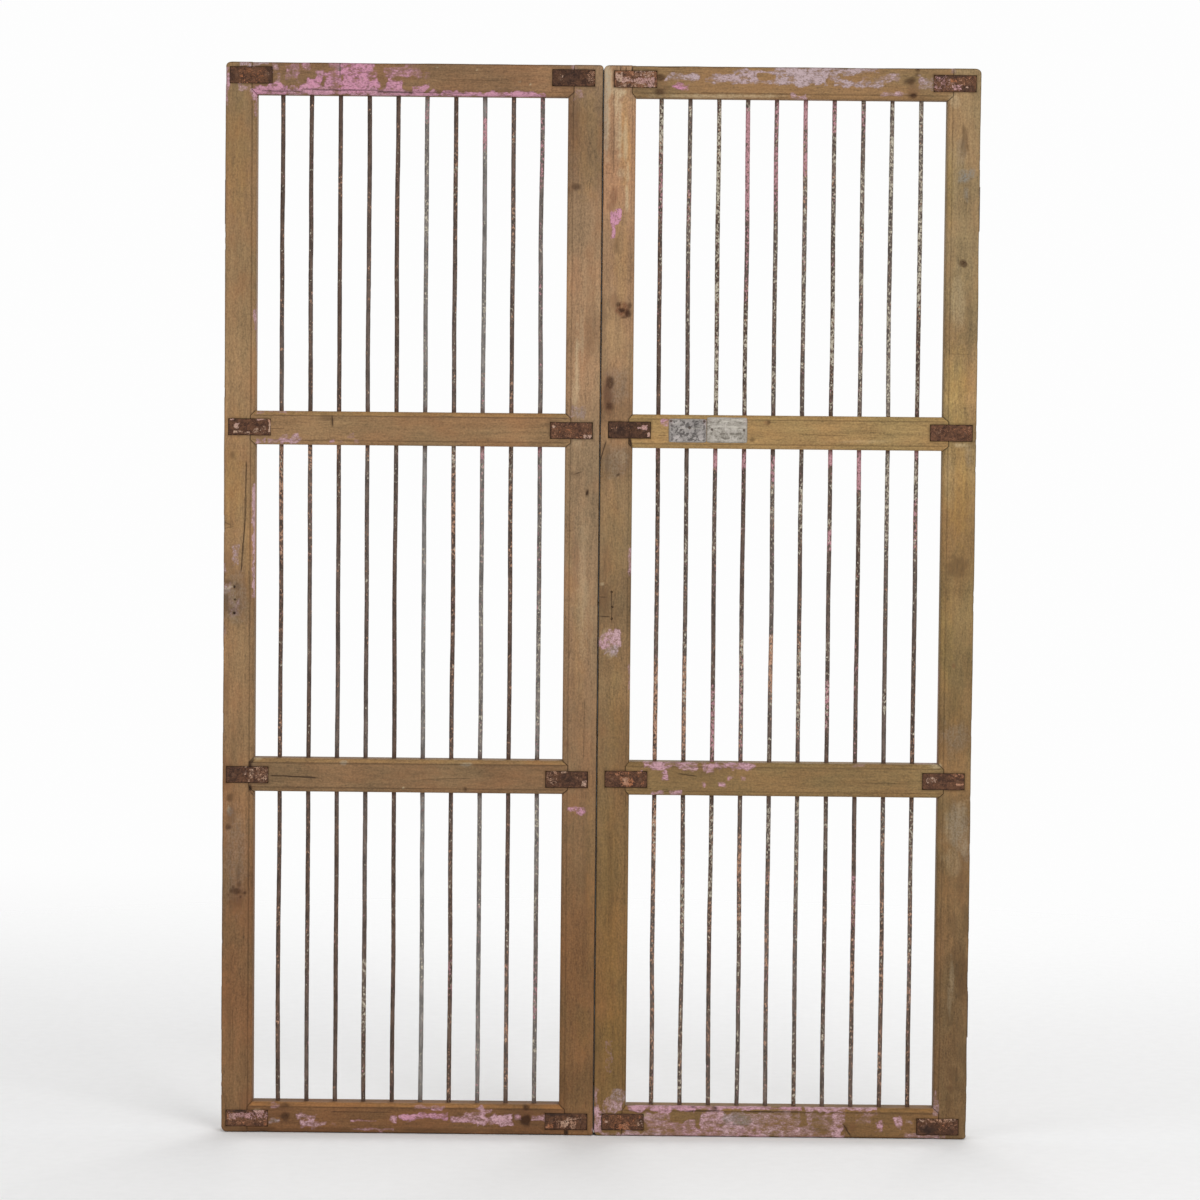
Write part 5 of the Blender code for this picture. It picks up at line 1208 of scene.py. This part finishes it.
def wood(node, along, tones, shift, warm=0.0, streaky=0.56, blotchy=0.34):
    """Weathered teak.  along: grain direction, 'X' or 'Z'.  tones: colour at the foot,
    the middle and the top of the leaf (equal for a rail)."""
    s = Shader(node + "_teak")
    at = s.place()

    def stretched(k, more=0.0):
        return s.scaled(at, {"Z": (1.0, 1.0, k), "X": (k, 1.0, 1.0)}[along],
                        (shift[0] + more, shift[1], shift[2] + more))

    split = s.node("ShaderNodeSeparateXYZ")
    s.put(split.inputs[0], at)
    across = split.outputs[{"Z": 0, "X": 2}[along]]
    wander = s.noise(stretched(0.16), 9.0, 2.0)
    rings = s.math("SINE", s.math("ADD", s.math("MULTIPLY", across, 620.0), s.math("MULTIPLY", wander, 46.0)))
    streak = s.noise(stretched(0.07), 130.0, 4.0, 0.62, 0.5)       # grain streaks
    fine = s.noise(stretched(0.20, 2.0), 430.0, 3.0, 0.6)          # fine fibres
    mottle = s.noise(stretched(0.8, 5.0), 330.0, 3.0, 0.62)        # speckled weathering
    pores = s.noise(stretched(0.07, 8.0), 900.0, 2.0, 0.5)
    cloud = s.noise(stretched(0.35, 1.0), 8.0, 4.0, 0.6)
    patch = s.noise(stretched(0.45, 3.0), 30.0, 4.0, 0.62)
    hue = s.noise(stretched(0.40, 9.0), 16.0, 3.0, 0.6)

    ramp = s.node("ShaderNodeValToRGB")
    s.put(ramp.inputs[0], s.spread(split.outputs[2], 0.0, LEAF_H, 0.0, 1.0, smooth=False))
    low, mid, high = tones
    ramp.color_ramp.interpolation = "EASE"
    marks = ramp.color_ramp.elements
    marks[0].position, marks[0].color = 0.13, linear(*low)
    marks[1].position, marks[1].color = 0.92, linear(*high)
    e = marks.new(0.55)
    e.color = linear(*mid)

    light = s.math("MULTIPLY_ADD", s.math("SUBTRACT", streak, 0.5), streaky, 1.0)
    light = s.math("MULTIPLY_ADD", s.math("SUBTRACT", fine, 0.5), 0.70, light)
    light = s.math("MULTIPLY_ADD", s.math("SUBTRACT", mottle, 0.5), 1.15, light)
    light = s.math("MULTIPLY_ADD", rings, 0.022, light)
    light = s.math("MULTIPLY_ADD", s.math("SUBTRACT", cloud, 0.5), 0.62, light)
    light = s.math("MULTIPLY_ADD", s.math("SUBTRACT", patch, 0.5), blotchy, light)
    light = s.math("SUBTRACT", light, s.math("MULTIPLY", s.spread(pores, 0.40, 0.30), 0.22))
    colour = s.mix(1.0, ramp.outputs[0], s.grey(light), "MULTIPLY")
    # drift of old oil and weather: redder here, greyer or more olive there
    tint = s.mix(s.spread(hue, 0.34, 0.66), (1.06, 0.985, 0.93, 1.0), (0.965, 1.01, 0.99, 1.0))
    colour = s.mix(1.0, colour, tint, "MULTIPLY")
    if warm:
        colour = s.mix(s.spread(patch, 0.48, 0.72, 0.0, warm), colour, linear(140, 92, 58))
    # golden, better oiled places, and the golden part of the painted highlight on the rails' upper mouldings
    golden = s.math("MULTIPLY", s.value("gold_and_highlight"), s.spread(s.math("ADD", streak, patch), 0.75, 1.20, 0.45, 1.0))
    colour = s.mix(golden, colour, s.mix(1.0, colour, (1.10, 1.085, 0.85, 1.0), "MULTIPLY"))
    # broad lighter and darker stretches of a piece, and the painted highlight on the rails' upper mouldings
    colour = s.mix(1.0, colour, s.grey(s.math("ADD", s.value("shade"), 1.0)), "MULTIPLY")
    # bleached places, the painted highlight on the sides of the meeting edges, smears, stains and knots, dirt in the
    # seams and painted shade in the slit between the leaves
    rough_edge = s.spread(s.math("ADD", streak, s.math("MULTIPLY", mottle, 0.8)), 0.72, 1.05, 0.35, 1.0)
    colour = s.mix(s.math("MULTIPLY", s.value("pale"), rough_edge), colour, linear(200, 182, 148))
    colour = s.mix(s.math("MULTIPLY", s.value("smear"), s.spread(mottle, 0.36, 0.62, 0.2, 1.0)), colour, linear(128, 128, 124))
    colour = s.mix(s.math("MULTIPLY", s.value("rusty"), s.spread(mottle, 0.34, 0.60, 0.3, 1.1)), colour, linear(104, 60, 40))
    stain = s.math("MULTIPLY", s.value("dark"), s.spread(s.math("ADD", patch, mottle), 0.80, 1.15, 0.65, 1.15))
    colour = s.mix(s.math("MINIMUM", stain, 0.95), colour, linear(60, 36, 19))
    seam_dirt_and_shade = s.math("MULTIPLY", s.value("seam_dirt_and_shade"), s.spread(streak, 0.30, 0.65, 0.60, 1.0))
    colour = s.mix(s.math("MULTIPLY", seam_dirt_and_shade, 0.74), colour, linear(50, 35, 22))

    # flaking paint
    big = s.noise(s.scaled(at, (1, 1, 1), (shift[0] + 7.3, shift[1], shift[2] + 2.1)), 48.0, 3.0, 0.60)
    chip = s.noise(stretched(0.42, 6.1) if along == "X" else s.scaled(at, (1, 1, 0.8), (shift[0] + 1.3, 0, shift[2])),
                   170.0, 6.0, 0.74)
    small = s.noise(s.scaled(at, {"Z": (1, 1, 0.8), "X": (0.55, 1, 1)}[along], (shift[0] + 1.3, shift[1], shift[2] + 6.1)), 500.0, 3.0, 0.6)
    left = s.value("paint")
    keep = s.math("MULTIPLY_ADD", s.math("SUBTRACT", big, 0.5), 1.9, 1.0)
    keep = s.math("MULTIPLY_ADD", s.math("SUBTRACT", chip, 0.5), 3.6, keep)
    keep = s.math("MULTIPLY", keep, left)
    fleck = s.noise(s.scaled(at, {"Z": (1, 1, 0.6), "X": (0.42, 1, 1)}[along], (shift[0] + 9.2, shift[1], shift[2] + 3.4)), 460.0, 3.0, 0.6)
    mask = s.math("MULTIPLY", s.spread(keep, 0.49, 0.72), s.spread(fleck, 0.58, 0.68, 1.0, 0.25))
    thin = s.spread(keep, 0.16, 0.56, 0.0, 0.90)
    hue_at = s.value("hue")
    deep = s.mix(s.spread(hue_at, 0.0, 0.5, smooth=False), linear(146, 96, 117), linear(150, 114, 118))
    deep = s.mix(s.spread(hue_at, 0.5, 1.0, smooth=False), deep, linear(132, 115, 110))
    clean = s.mix(s.spread(hue_at, 0.0, 0.5, smooth=False), linear(202, 139, 164), linear(200, 164, 168))
    clean = s.mix(s.spread(hue_at, 0.5, 1.0, smooth=False), clean, linear(182, 163, 165))
    paint = s.mix(s.spread(s.math("ADD", small, s.math("MULTIPLY", keep, 0.25)), 0.48, 0.80), deep, clean)
    grime = s.spread(s.noise(s.scaled(at, (1, 1, 1), (shift[0] + 4.0, 0, 1)), 120.0, 5.0, 0.7), 0.50, 0.68, 0.0, 0.60)
    paint = s.mix(grime, paint, linear(118, 92, 82))
    colour = s.mix(thin, colour, s.mix(0.55, colour, paint))
    colour = s.mix(mask, colour, paint)
    colour = s.mix(s.math("MULTIPLY", seam_dirt_and_shade, s.math("MULTIPLY", mask, 0.50)), colour, linear(72, 48, 38))

    # cracks, scribed lines and old holes
    wobble = s.math("MULTIPLY_ADD", s.noise(stretched(0.5, 4.0), 90.0, 3.0), 0.0030, -0.0015)
    cut = None
    for u0, v0, u1, v1, half, much in CRACKS.get(node, []):
        a, b = on_face(u0, v0), on_face(u1, v1)
        length = float(np.linalg.norm(b - a))
        way = (b - a) / length
        side = np.array([way[2], 0.0, -way[0]])
        run = s.math("SUBTRACT", s.vector("DOT_PRODUCT", at, tuple(way)), float(way @ a))
        off = s.math("SUBTRACT", s.vector("DOT_PRODUCT", at, tuple(side)), float(side @ a))
        off = s.math("ABSOLUTE", s.math("ADD", off, wobble) if length > 0.02 else off)
        wide = half / 581 * 1.5
        here = s.math("MULTIPLY", s.spread(off, wide * 1.5, wide * 0.4, 0.0, much),
                      s.math("MULTIPLY", s.spread(run, -0.003, 0.006), s.spread(run, length + 0.003, length - 0.006)))
        cut = here if cut is None else s.math("MAXIMUM", cut, here)
    for u, v, r in HOLES.get(node, []):
        gone = s.vector("DISTANCE", at, tuple(on_face(u, v)))
        here = s.spread(gone, r / 581 * 1.35, r / 581 * 0.75)
        cut = here if cut is None else s.math("MAXIMUM", cut, here)
    if cut is not None:
        face = s.spread(split.outputs[1], Y_FRONT + 0.009, Y_FRONT + 0.006)
        cut = s.math("MULTIPLY", cut, face)
        colour = s.mix(cut, colour, linear(50, 32, 19))

    rough = s.math("ADD", s.spread(fine, 0.3, 0.7, 0.62, 0.82), s.math("MULTIPLY", mask, -0.10))
    tall = s.math("ADD", s.math("MULTIPLY", fine, 0.45), s.math("MULTIPLY", streak, 0.55))
    tall = s.math("ADD", tall, s.math("MULTIPLY", mottle, 0.25))
    tall = s.math("SUBTRACT", tall, s.math("MULTIPLY", s.spread(pores, 0.40, 0.30), 0.35))
    tall = s.math("ADD", tall, s.math("MULTIPLY", mask, 0.40))
    if cut is not None:
        tall = s.math("SUBTRACT", tall, s.math("MULTIPLY", cut, 1.2))
    rough = s.math("MAXIMUM", rough, s.spread(s.value("seam_dirt_and_shade"), 0.2, 0.9))
    return s.finish(colour, rough, s.bump(tall, 0.0009, 0.55), shine=0.20)


def strap_iron():
    s = Shader("strap_iron_rusted")
    at = s.place()
    blot = s.noise(at, 85.0, 5.0, 0.65, 0.5)
    speck = s.noise(at, 520.0, 3.0, 0.6)
    pit = s.noise(at, 260.0, 4.0, 0.6)
    colour = s.mix(s.spread(blot, 0.36, 0.62), linear(68, 43, 31), linear(97, 65, 45))
    colour = s.mix(s.spread(pit, 0.52, 0.68, 0.0, 0.60), colour, linear(124, 82, 58))
    colour = s.mix(s.spread(speck, 0.58, 0.68, 0.0, 0.55), colour, linear(158, 108, 74))
    colour = s.mix(s.spread(pit, 0.44, 0.32, 0.0, 0.70), colour, linear(50, 33, 25))
    colour = s.mix(1.0, colour, s.grey(s.value("tone")), "MULTIPLY")
    colour = s.mix(s.math("MULTIPLY", s.value("dark"), 0.85), colour, linear(42, 30, 26))
    colour = s.mix(s.math("MULTIPLY", s.value("rim"), 0.40), colour, linear(52, 36, 28))
    colour = s.mix(s.math("MULTIPLY", s.value("nail"), 0.40), colour, linear(112, 82, 64))
    big = s.noise(s.scaled(at, (1, 1, 1), (2, 0, 5)), 260.0, 5.0, 0.75)
    small = s.noise(s.scaled(at, (1, 1, 1), (7, 0, 3)), 760.0, 3.0, 0.6)
    keep = s.math("MULTIPLY_ADD", s.math("SUBTRACT", big, 0.5), 2.2, s.value("paint"))
    keep = s.math("MULTIPLY_ADD", s.math("SUBTRACT", small, 0.5), 1.1, keep)
    mask = s.math("MULTIPLY", s.spread(keep, 0.46, 0.64), s.spread(s.value("paint"), 0.06, 0.20))
    hue = s.value("hue")
    paint = s.mix(s.spread(hue, 0.10, 0.50, smooth=False), linear(196, 152, 154), linear(204, 174, 150))
    paint = s.mix(s.spread(hue, 0.50, 0.95, smooth=False), paint, linear(176, 112, 72))
    paint = s.mix(s.spread(small, 0.44, 0.62, 0.62, 0.0), paint, linear(124, 84, 68))
    colour = s.mix(mask, colour, paint)
    rough = s.math("ADD", s.spread(pit, 0.3, 0.7, 0.86, 0.68), s.math("MULTIPLY", mask, -0.06))
    tall = s.math("ADD", s.math("MULTIPLY", pit, 0.8), s.math("ADD", s.math("MULTIPLY", blot, 0.5), s.math("MULTIPLY", mask, 0.35)))
    return s.finish(colour, rough, s.bump(tall, 0.0010, 0.75), metal=0.10, shine=0.28)


def bar_iron():
    s = Shader("bar_iron_flaked")
    at = s.place()
    long = s.noise(s.scaled(at, (1, 1, 0.25)), 150.0, 4.0, 0.6)
    speck = s.noise(at, 460.0, 3.0, 0.6)
    brown = s.mix(s.spread(long, 0.32, 0.68), linear(62, 48, 40), linear(100, 80, 68))
    zinc = s.mix(s.spread(long, 0.32, 0.68), linear(100, 97, 94), linear(146, 141, 137))
    colour = s.mix(s.value("grey"), brown, zinc)
    colour = s.mix(s.spread(speck, 0.56, 0.70, 0.0, 0.35), colour, linear(134, 110, 94))
    flake = {}
    for i, key in enumerate(("orange", "cream", "pink")):
        big = s.noise(s.scaled(at, (1, 1, 0.70), (3 + 2.7 * i, 1, 2 + 1.9 * i)), 250.0, 4.0, 0.66, 0.4)
        keep = s.math("MULTIPLY_ADD", s.math("SUBTRACT", big, 0.5), 2.6, s.value(key))
        flake[key] = s.spread(keep, 0.44, 0.58)
    colour = s.mix(flake["orange"], colour, s.mix(s.spread(speck, 0.35, 0.65), linear(136, 98, 76), linear(204, 162, 134)))
    colour = s.mix(flake["cream"], colour, s.mix(s.spread(speck, 0.35, 0.65), linear(136, 128, 110), linear(212, 203, 184)))
    colour = s.mix(flake["pink"], colour, s.mix(s.spread(speck, 0.35, 0.65), linear(150, 106, 112), linear(202, 152, 158)))
    # rust stains and painted shade where a bar enters a rail
    colour = s.mix(s.math("MULTIPLY", s.value("rust_and_entry_shade"), 0.55), colour, linear(84, 58, 42))
    rough = s.math("ADD", s.spread(long, 0.3, 0.7, 0.55, 0.75), s.math("MULTIPLY", flake["cream"], 0.10))
    return s.finish(colour, rough, metal=0.10, shine=0.30)


def tin(name, base, tint, stain, shift):
    s = Shader(name)
    at = s.scaled(s.place(), (1, 1, 1), shift)
    blot = s.noise(at, 70.0, 5.0, 0.65, 0.6)
    fine = s.noise(at, 420.0, 4.0, 0.6)
    brush = s.noise(s.scaled(at, (0.08, 1, 1)), 700.0, 3.0, 0.6)
    colour = s.mix(s.spread(blot, 0.40, 0.66), linear(*base), linear(*tint))
    colour = s.mix(s.spread(fine, 0.52, 0.66, 0.0, 0.50), colour, linear(*stain))
    colour = s.mix(s.math("MULTIPLY", s.value("worn"), s.spread(fine, 0.40, 0.60, 0.10, 0.5)), colour, linear(*stain))
    colour = s.mix(s.math("MULTIPLY", s.value("mark"), 0.80), colour, linear(*stain))
    colour = s.mix(s.spread(brush, 0.55, 0.75, 0.0, 0.22), colour, linear(196, 190, 180))
    colour = s.mix(s.math("MULTIPLY", s.value("chalk"), s.spread(fine, 0.36, 0.56, 0.2, 0.9)), colour, linear(206, 200, 188))
    colour = s.mix(s.math("MULTIPLY", s.value("corner"), s.spread(blot, 0.42, 0.62, 0.0, 0.65)), colour, linear(176, 138, 142))
    colour = s.mix(s.math("MULTIPLY", s.value("rim"), 0.50), colour, linear(108, 96, 84))
    colour = s.mix(s.math("MULTIPLY", s.value("nail"), 0.85), colour, linear(66, 50, 40))
    rough = s.spread(blot, 0.3, 0.7, 0.50, 0.72)
    tall = s.math("ADD", s.math("MULTIPLY", fine, 0.5), s.math("MULTIPLY", blot, 0.8))
    return s.finish(colour, rough, s.bump(tall, 0.0007, 0.5), metal=0.15, shine=0.35)


def hinge_iron():
    s = Shader("hinge_iron_worn")
    at = s.place()
    blot = s.noise(at, 90.0, 5.0, 0.6, 0.4)
    fine = s.noise(at, 480.0, 4.0, 0.6)
    colour = s.mix(s.spread(blot, 0.36, 0.64), linear(58, 48, 43), linear(96, 80, 70))
    colour = s.mix(s.spread(fine, 0.56, 0.70, 0.0, 0.7), colour, linear(126, 84, 56))
    colour = s.mix(s.spread(blot, 0.62, 0.74, 0.0, 0.6), colour, linear(150, 140, 130))
    rough = s.spread(fine, 0.3, 0.7, 0.42, 0.68)
    tall = s.math("ADD", fine, s.math("MULTIPLY", blot, 0.7))
    return s.finish(colour, rough, s.bump(tall, 0.0006, 0.45), metal=0.55, shine=0.5)


# colour of each wooden piece at the foot, the middle and the top of the leaf
TONES = {
    "left_hanging_stile": ((121, 89, 60), (151, 119, 85), (140, 112, 80)),
    "left_meeting_stile": ((120, 88, 57), (144, 117, 89), (154, 122, 93)),
    "right_meeting_stile": ((124, 94, 57), (138, 111, 80), (169, 132, 101)),
    "right_hanging_stile": ((114, 89, 60), (132, 107, 71), (150, 125, 91)),
    "left_top_rail": ((131, 100, 72),) * 3, "right_top_rail": ((140, 111, 77),) * 3,
    "left_upper_rail": ((140, 110, 78),) * 3, "right_upper_rail": ((156, 127, 84),) * 3,
    "left_lower_rail": ((125, 98, 70),) * 3, "right_lower_rail": ((132, 106, 70),) * 3,
    "left_bottom_rail": ((117, 84, 55),) * 3, "right_bottom_rail": ((130, 99, 64),) * 3,
}

# how strong the grain streaks of a rail and the blotches of a stile are
STREAKY = {"left_bottom_rail": 0.95, "right_upper_rail": 0.80, "left_upper_rail": 0.70, "left_lower_rail": 0.66}
BLOTCHY = {"right_hanging_stile": 0.85, "right_meeting_stile": 0.50, "left_meeting_stile": 0.55}

# --------------------------------------------------------------------------
# Assembly of the looks
# --------------------------------------------------------------------------
strap_look, bar_look, hinge_look = strap_iron(), bar_iron(), hinge_iron()


def wear(obj, mat):
    obj.data.materials.clear()
    obj.data.materials.append(mat)


count = 0
for side in ("left", "right"):
    leaf = Leaf(side)
    for which in ("hang", "meet"):
        node = f"{side}_{WORD[which]}_stile"
        count += 1
        wear(make_stile(leaf, which), wood(node, "Z", TONES[node], (count * 1.7, count * 0.9, count * 0.37),
                                           warm=0.30 if side == "left" else 0.16, blotchy=BLOTCHY.get(node, 0.40)))
    for rail in ORDER:
        node = f"{side}_{rail}_rail"
        count += 1
        wear(make_rail(leaf, rail), wood(node, "X", TONES[node], (count * 0.41, count * 0.9, count * 1.7),
                                         warm=0.26 if side == "left" else 0.14, streaky=STREAKY.get(node, 0.60)))
    for number, x in enumerate(leaf.bars, 1):
        wear(make_bar(leaf, number, x), bar_look)
    for rail in ORDER:
        for which in ("hang", "meet"):
            wear(make_strap(leaf, which, rail), strap_look)
wear(make_tin("right_tin_plate_dark", True),
     tin("tin_dark", (140, 134, 130), (178, 170, 166), (64, 59, 56), (5, 1, 2)))
wear(make_tin("right_tin_plate_pale", False),
     tin("tin_pale", (158, 151, 141), (188, 181, 172), (96, 89, 78), (9, 3, 4)))
for node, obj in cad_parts.items():
    if "hinge" in node:
        wear(obj, hinge_look)

# --------------------------------------------------------------------------
# Stage: pale floor, soft light, camera
# --------------------------------------------------------------------------
scene = bpy.context.scene
scene.view_settings.view_transform = "Standard"
scene.view_settings.look = "None"
scene.view_settings.exposure = 0.0
scene.view_settings.gamma = 1.0

bm = bmesh.new()
bmesh.ops.create_circle(bm, cap_ends=True, cap_tris=False, segments=96, radius=6.0)
floor_mesh = bpy.data.meshes.new("studio_floor")
bm.to_mesh(floor_mesh)
bm.free()
floor = bpy.data.objects.new("studio_floor", floor_mesh)
scene.collection.objects.link(floor)
floor.location = (0, 0, -0.0006)
s = Shader("floor_pale")
at = s.place()
grain = s.noise(at, 40.0, 3.0)
shade = s.mix(s.spread(grain, 0.3, 0.7), (0.94, 0.94, 0.94, 1.0), (0.96, 0.96, 0.96, 1.0))
s.finish(shade, 0.85, shine=0.1)
away = s.node("ShaderNodeVectorMath", operation="LENGTH")
s.put(away.inputs[0], at)
clear = s.node("ShaderNodeBsdfTransparent")
blend = s.node("ShaderNodeMixShader")
s.put(blend.inputs[0], s.spread(away.outputs["Value"], 1.0, 4.2))
s.tree.links.new(s.bsdf.outputs[0], blend.inputs[1])
s.tree.links.new(clear.outputs[0], blend.inputs[2])
s.tree.links.new(blend.outputs[0], s.tree.nodes["Material Output"].inputs["Surface"])
floor_mesh.materials.append(s.mat)

world = bpy.data.worlds.new("studio")
scene.world = world
world.use_nodes = True
nt = world.node_tree
nt.nodes.clear()
out = nt.nodes.new("ShaderNodeOutputWorld")
seen = nt.nodes.new("ShaderNodeBackground")
seen.inputs["Color"].default_value = (0.985, 0.985, 0.985, 1)
seen.inputs["Strength"].default_value = 1.0
fill = nt.nodes.new("ShaderNodeBackground")
fill.inputs["Color"].default_value = (1.0, 1.0, 1.0, 1)
fill.inputs["Strength"].default_value = 0.58
path = nt.nodes.new("ShaderNodeLightPath")
pick = nt.nodes.new("ShaderNodeMixShader")
nt.links.new(path.outputs["Is Camera Ray"], pick.inputs[0])
nt.links.new(fill.outputs[0], pick.inputs[1])
nt.links.new(seen.outputs[0], pick.inputs[2])
nt.links.new(pick.outputs[0], out.inputs["Surface"])


def lamp(name, place, target, size, power):
    data = bpy.data.lights.new(name, "AREA")
    data.shape = "RECTANGLE"
    data.size, data.size_y = size
    data.energy = power
    obj = bpy.data.objects.new(name, data)
    obj.location = place
    obj.rotation_euler = (Vector(target) - Vector(place)).to_track_quat("-Z", "Y").to_euler()
    scene.collection.objects.link(obj)
    return obj


lamp("key", (2.4, -4.6, 2.9), (0, 0, 0.95), (2.6, 2.6), 118)
lamp("side", (-3.6, -3.4, 1.8), (0, 0, 0.9), (2.4, 2.8), 36)
lamp("back", (0.6, 4.2, 3.4), (0, 0, 0.9), (3.0, 2.4), 78)

right, up, ahead = view_axes(CAM)
cam_data = bpy.data.cameras.new("camera")
cam_data.sensor_width = 36.0
cam_data.lens = CAM["f"] / 1200 * 36.0
cam_data.clip_end = 100
cam = bpy.data.objects.new("camera", cam_data)
scene.collection.objects.link(cam)
m = Matrix.Identity(4)
for i, axis in enumerate((right, up, -ahead)):
    for j in range(3):
        m[j][i] = axis[j]
for j in range(3):
    m[j][3] = CAM["pos"][j]
cam.matrix_world = m
scene.camera = cam
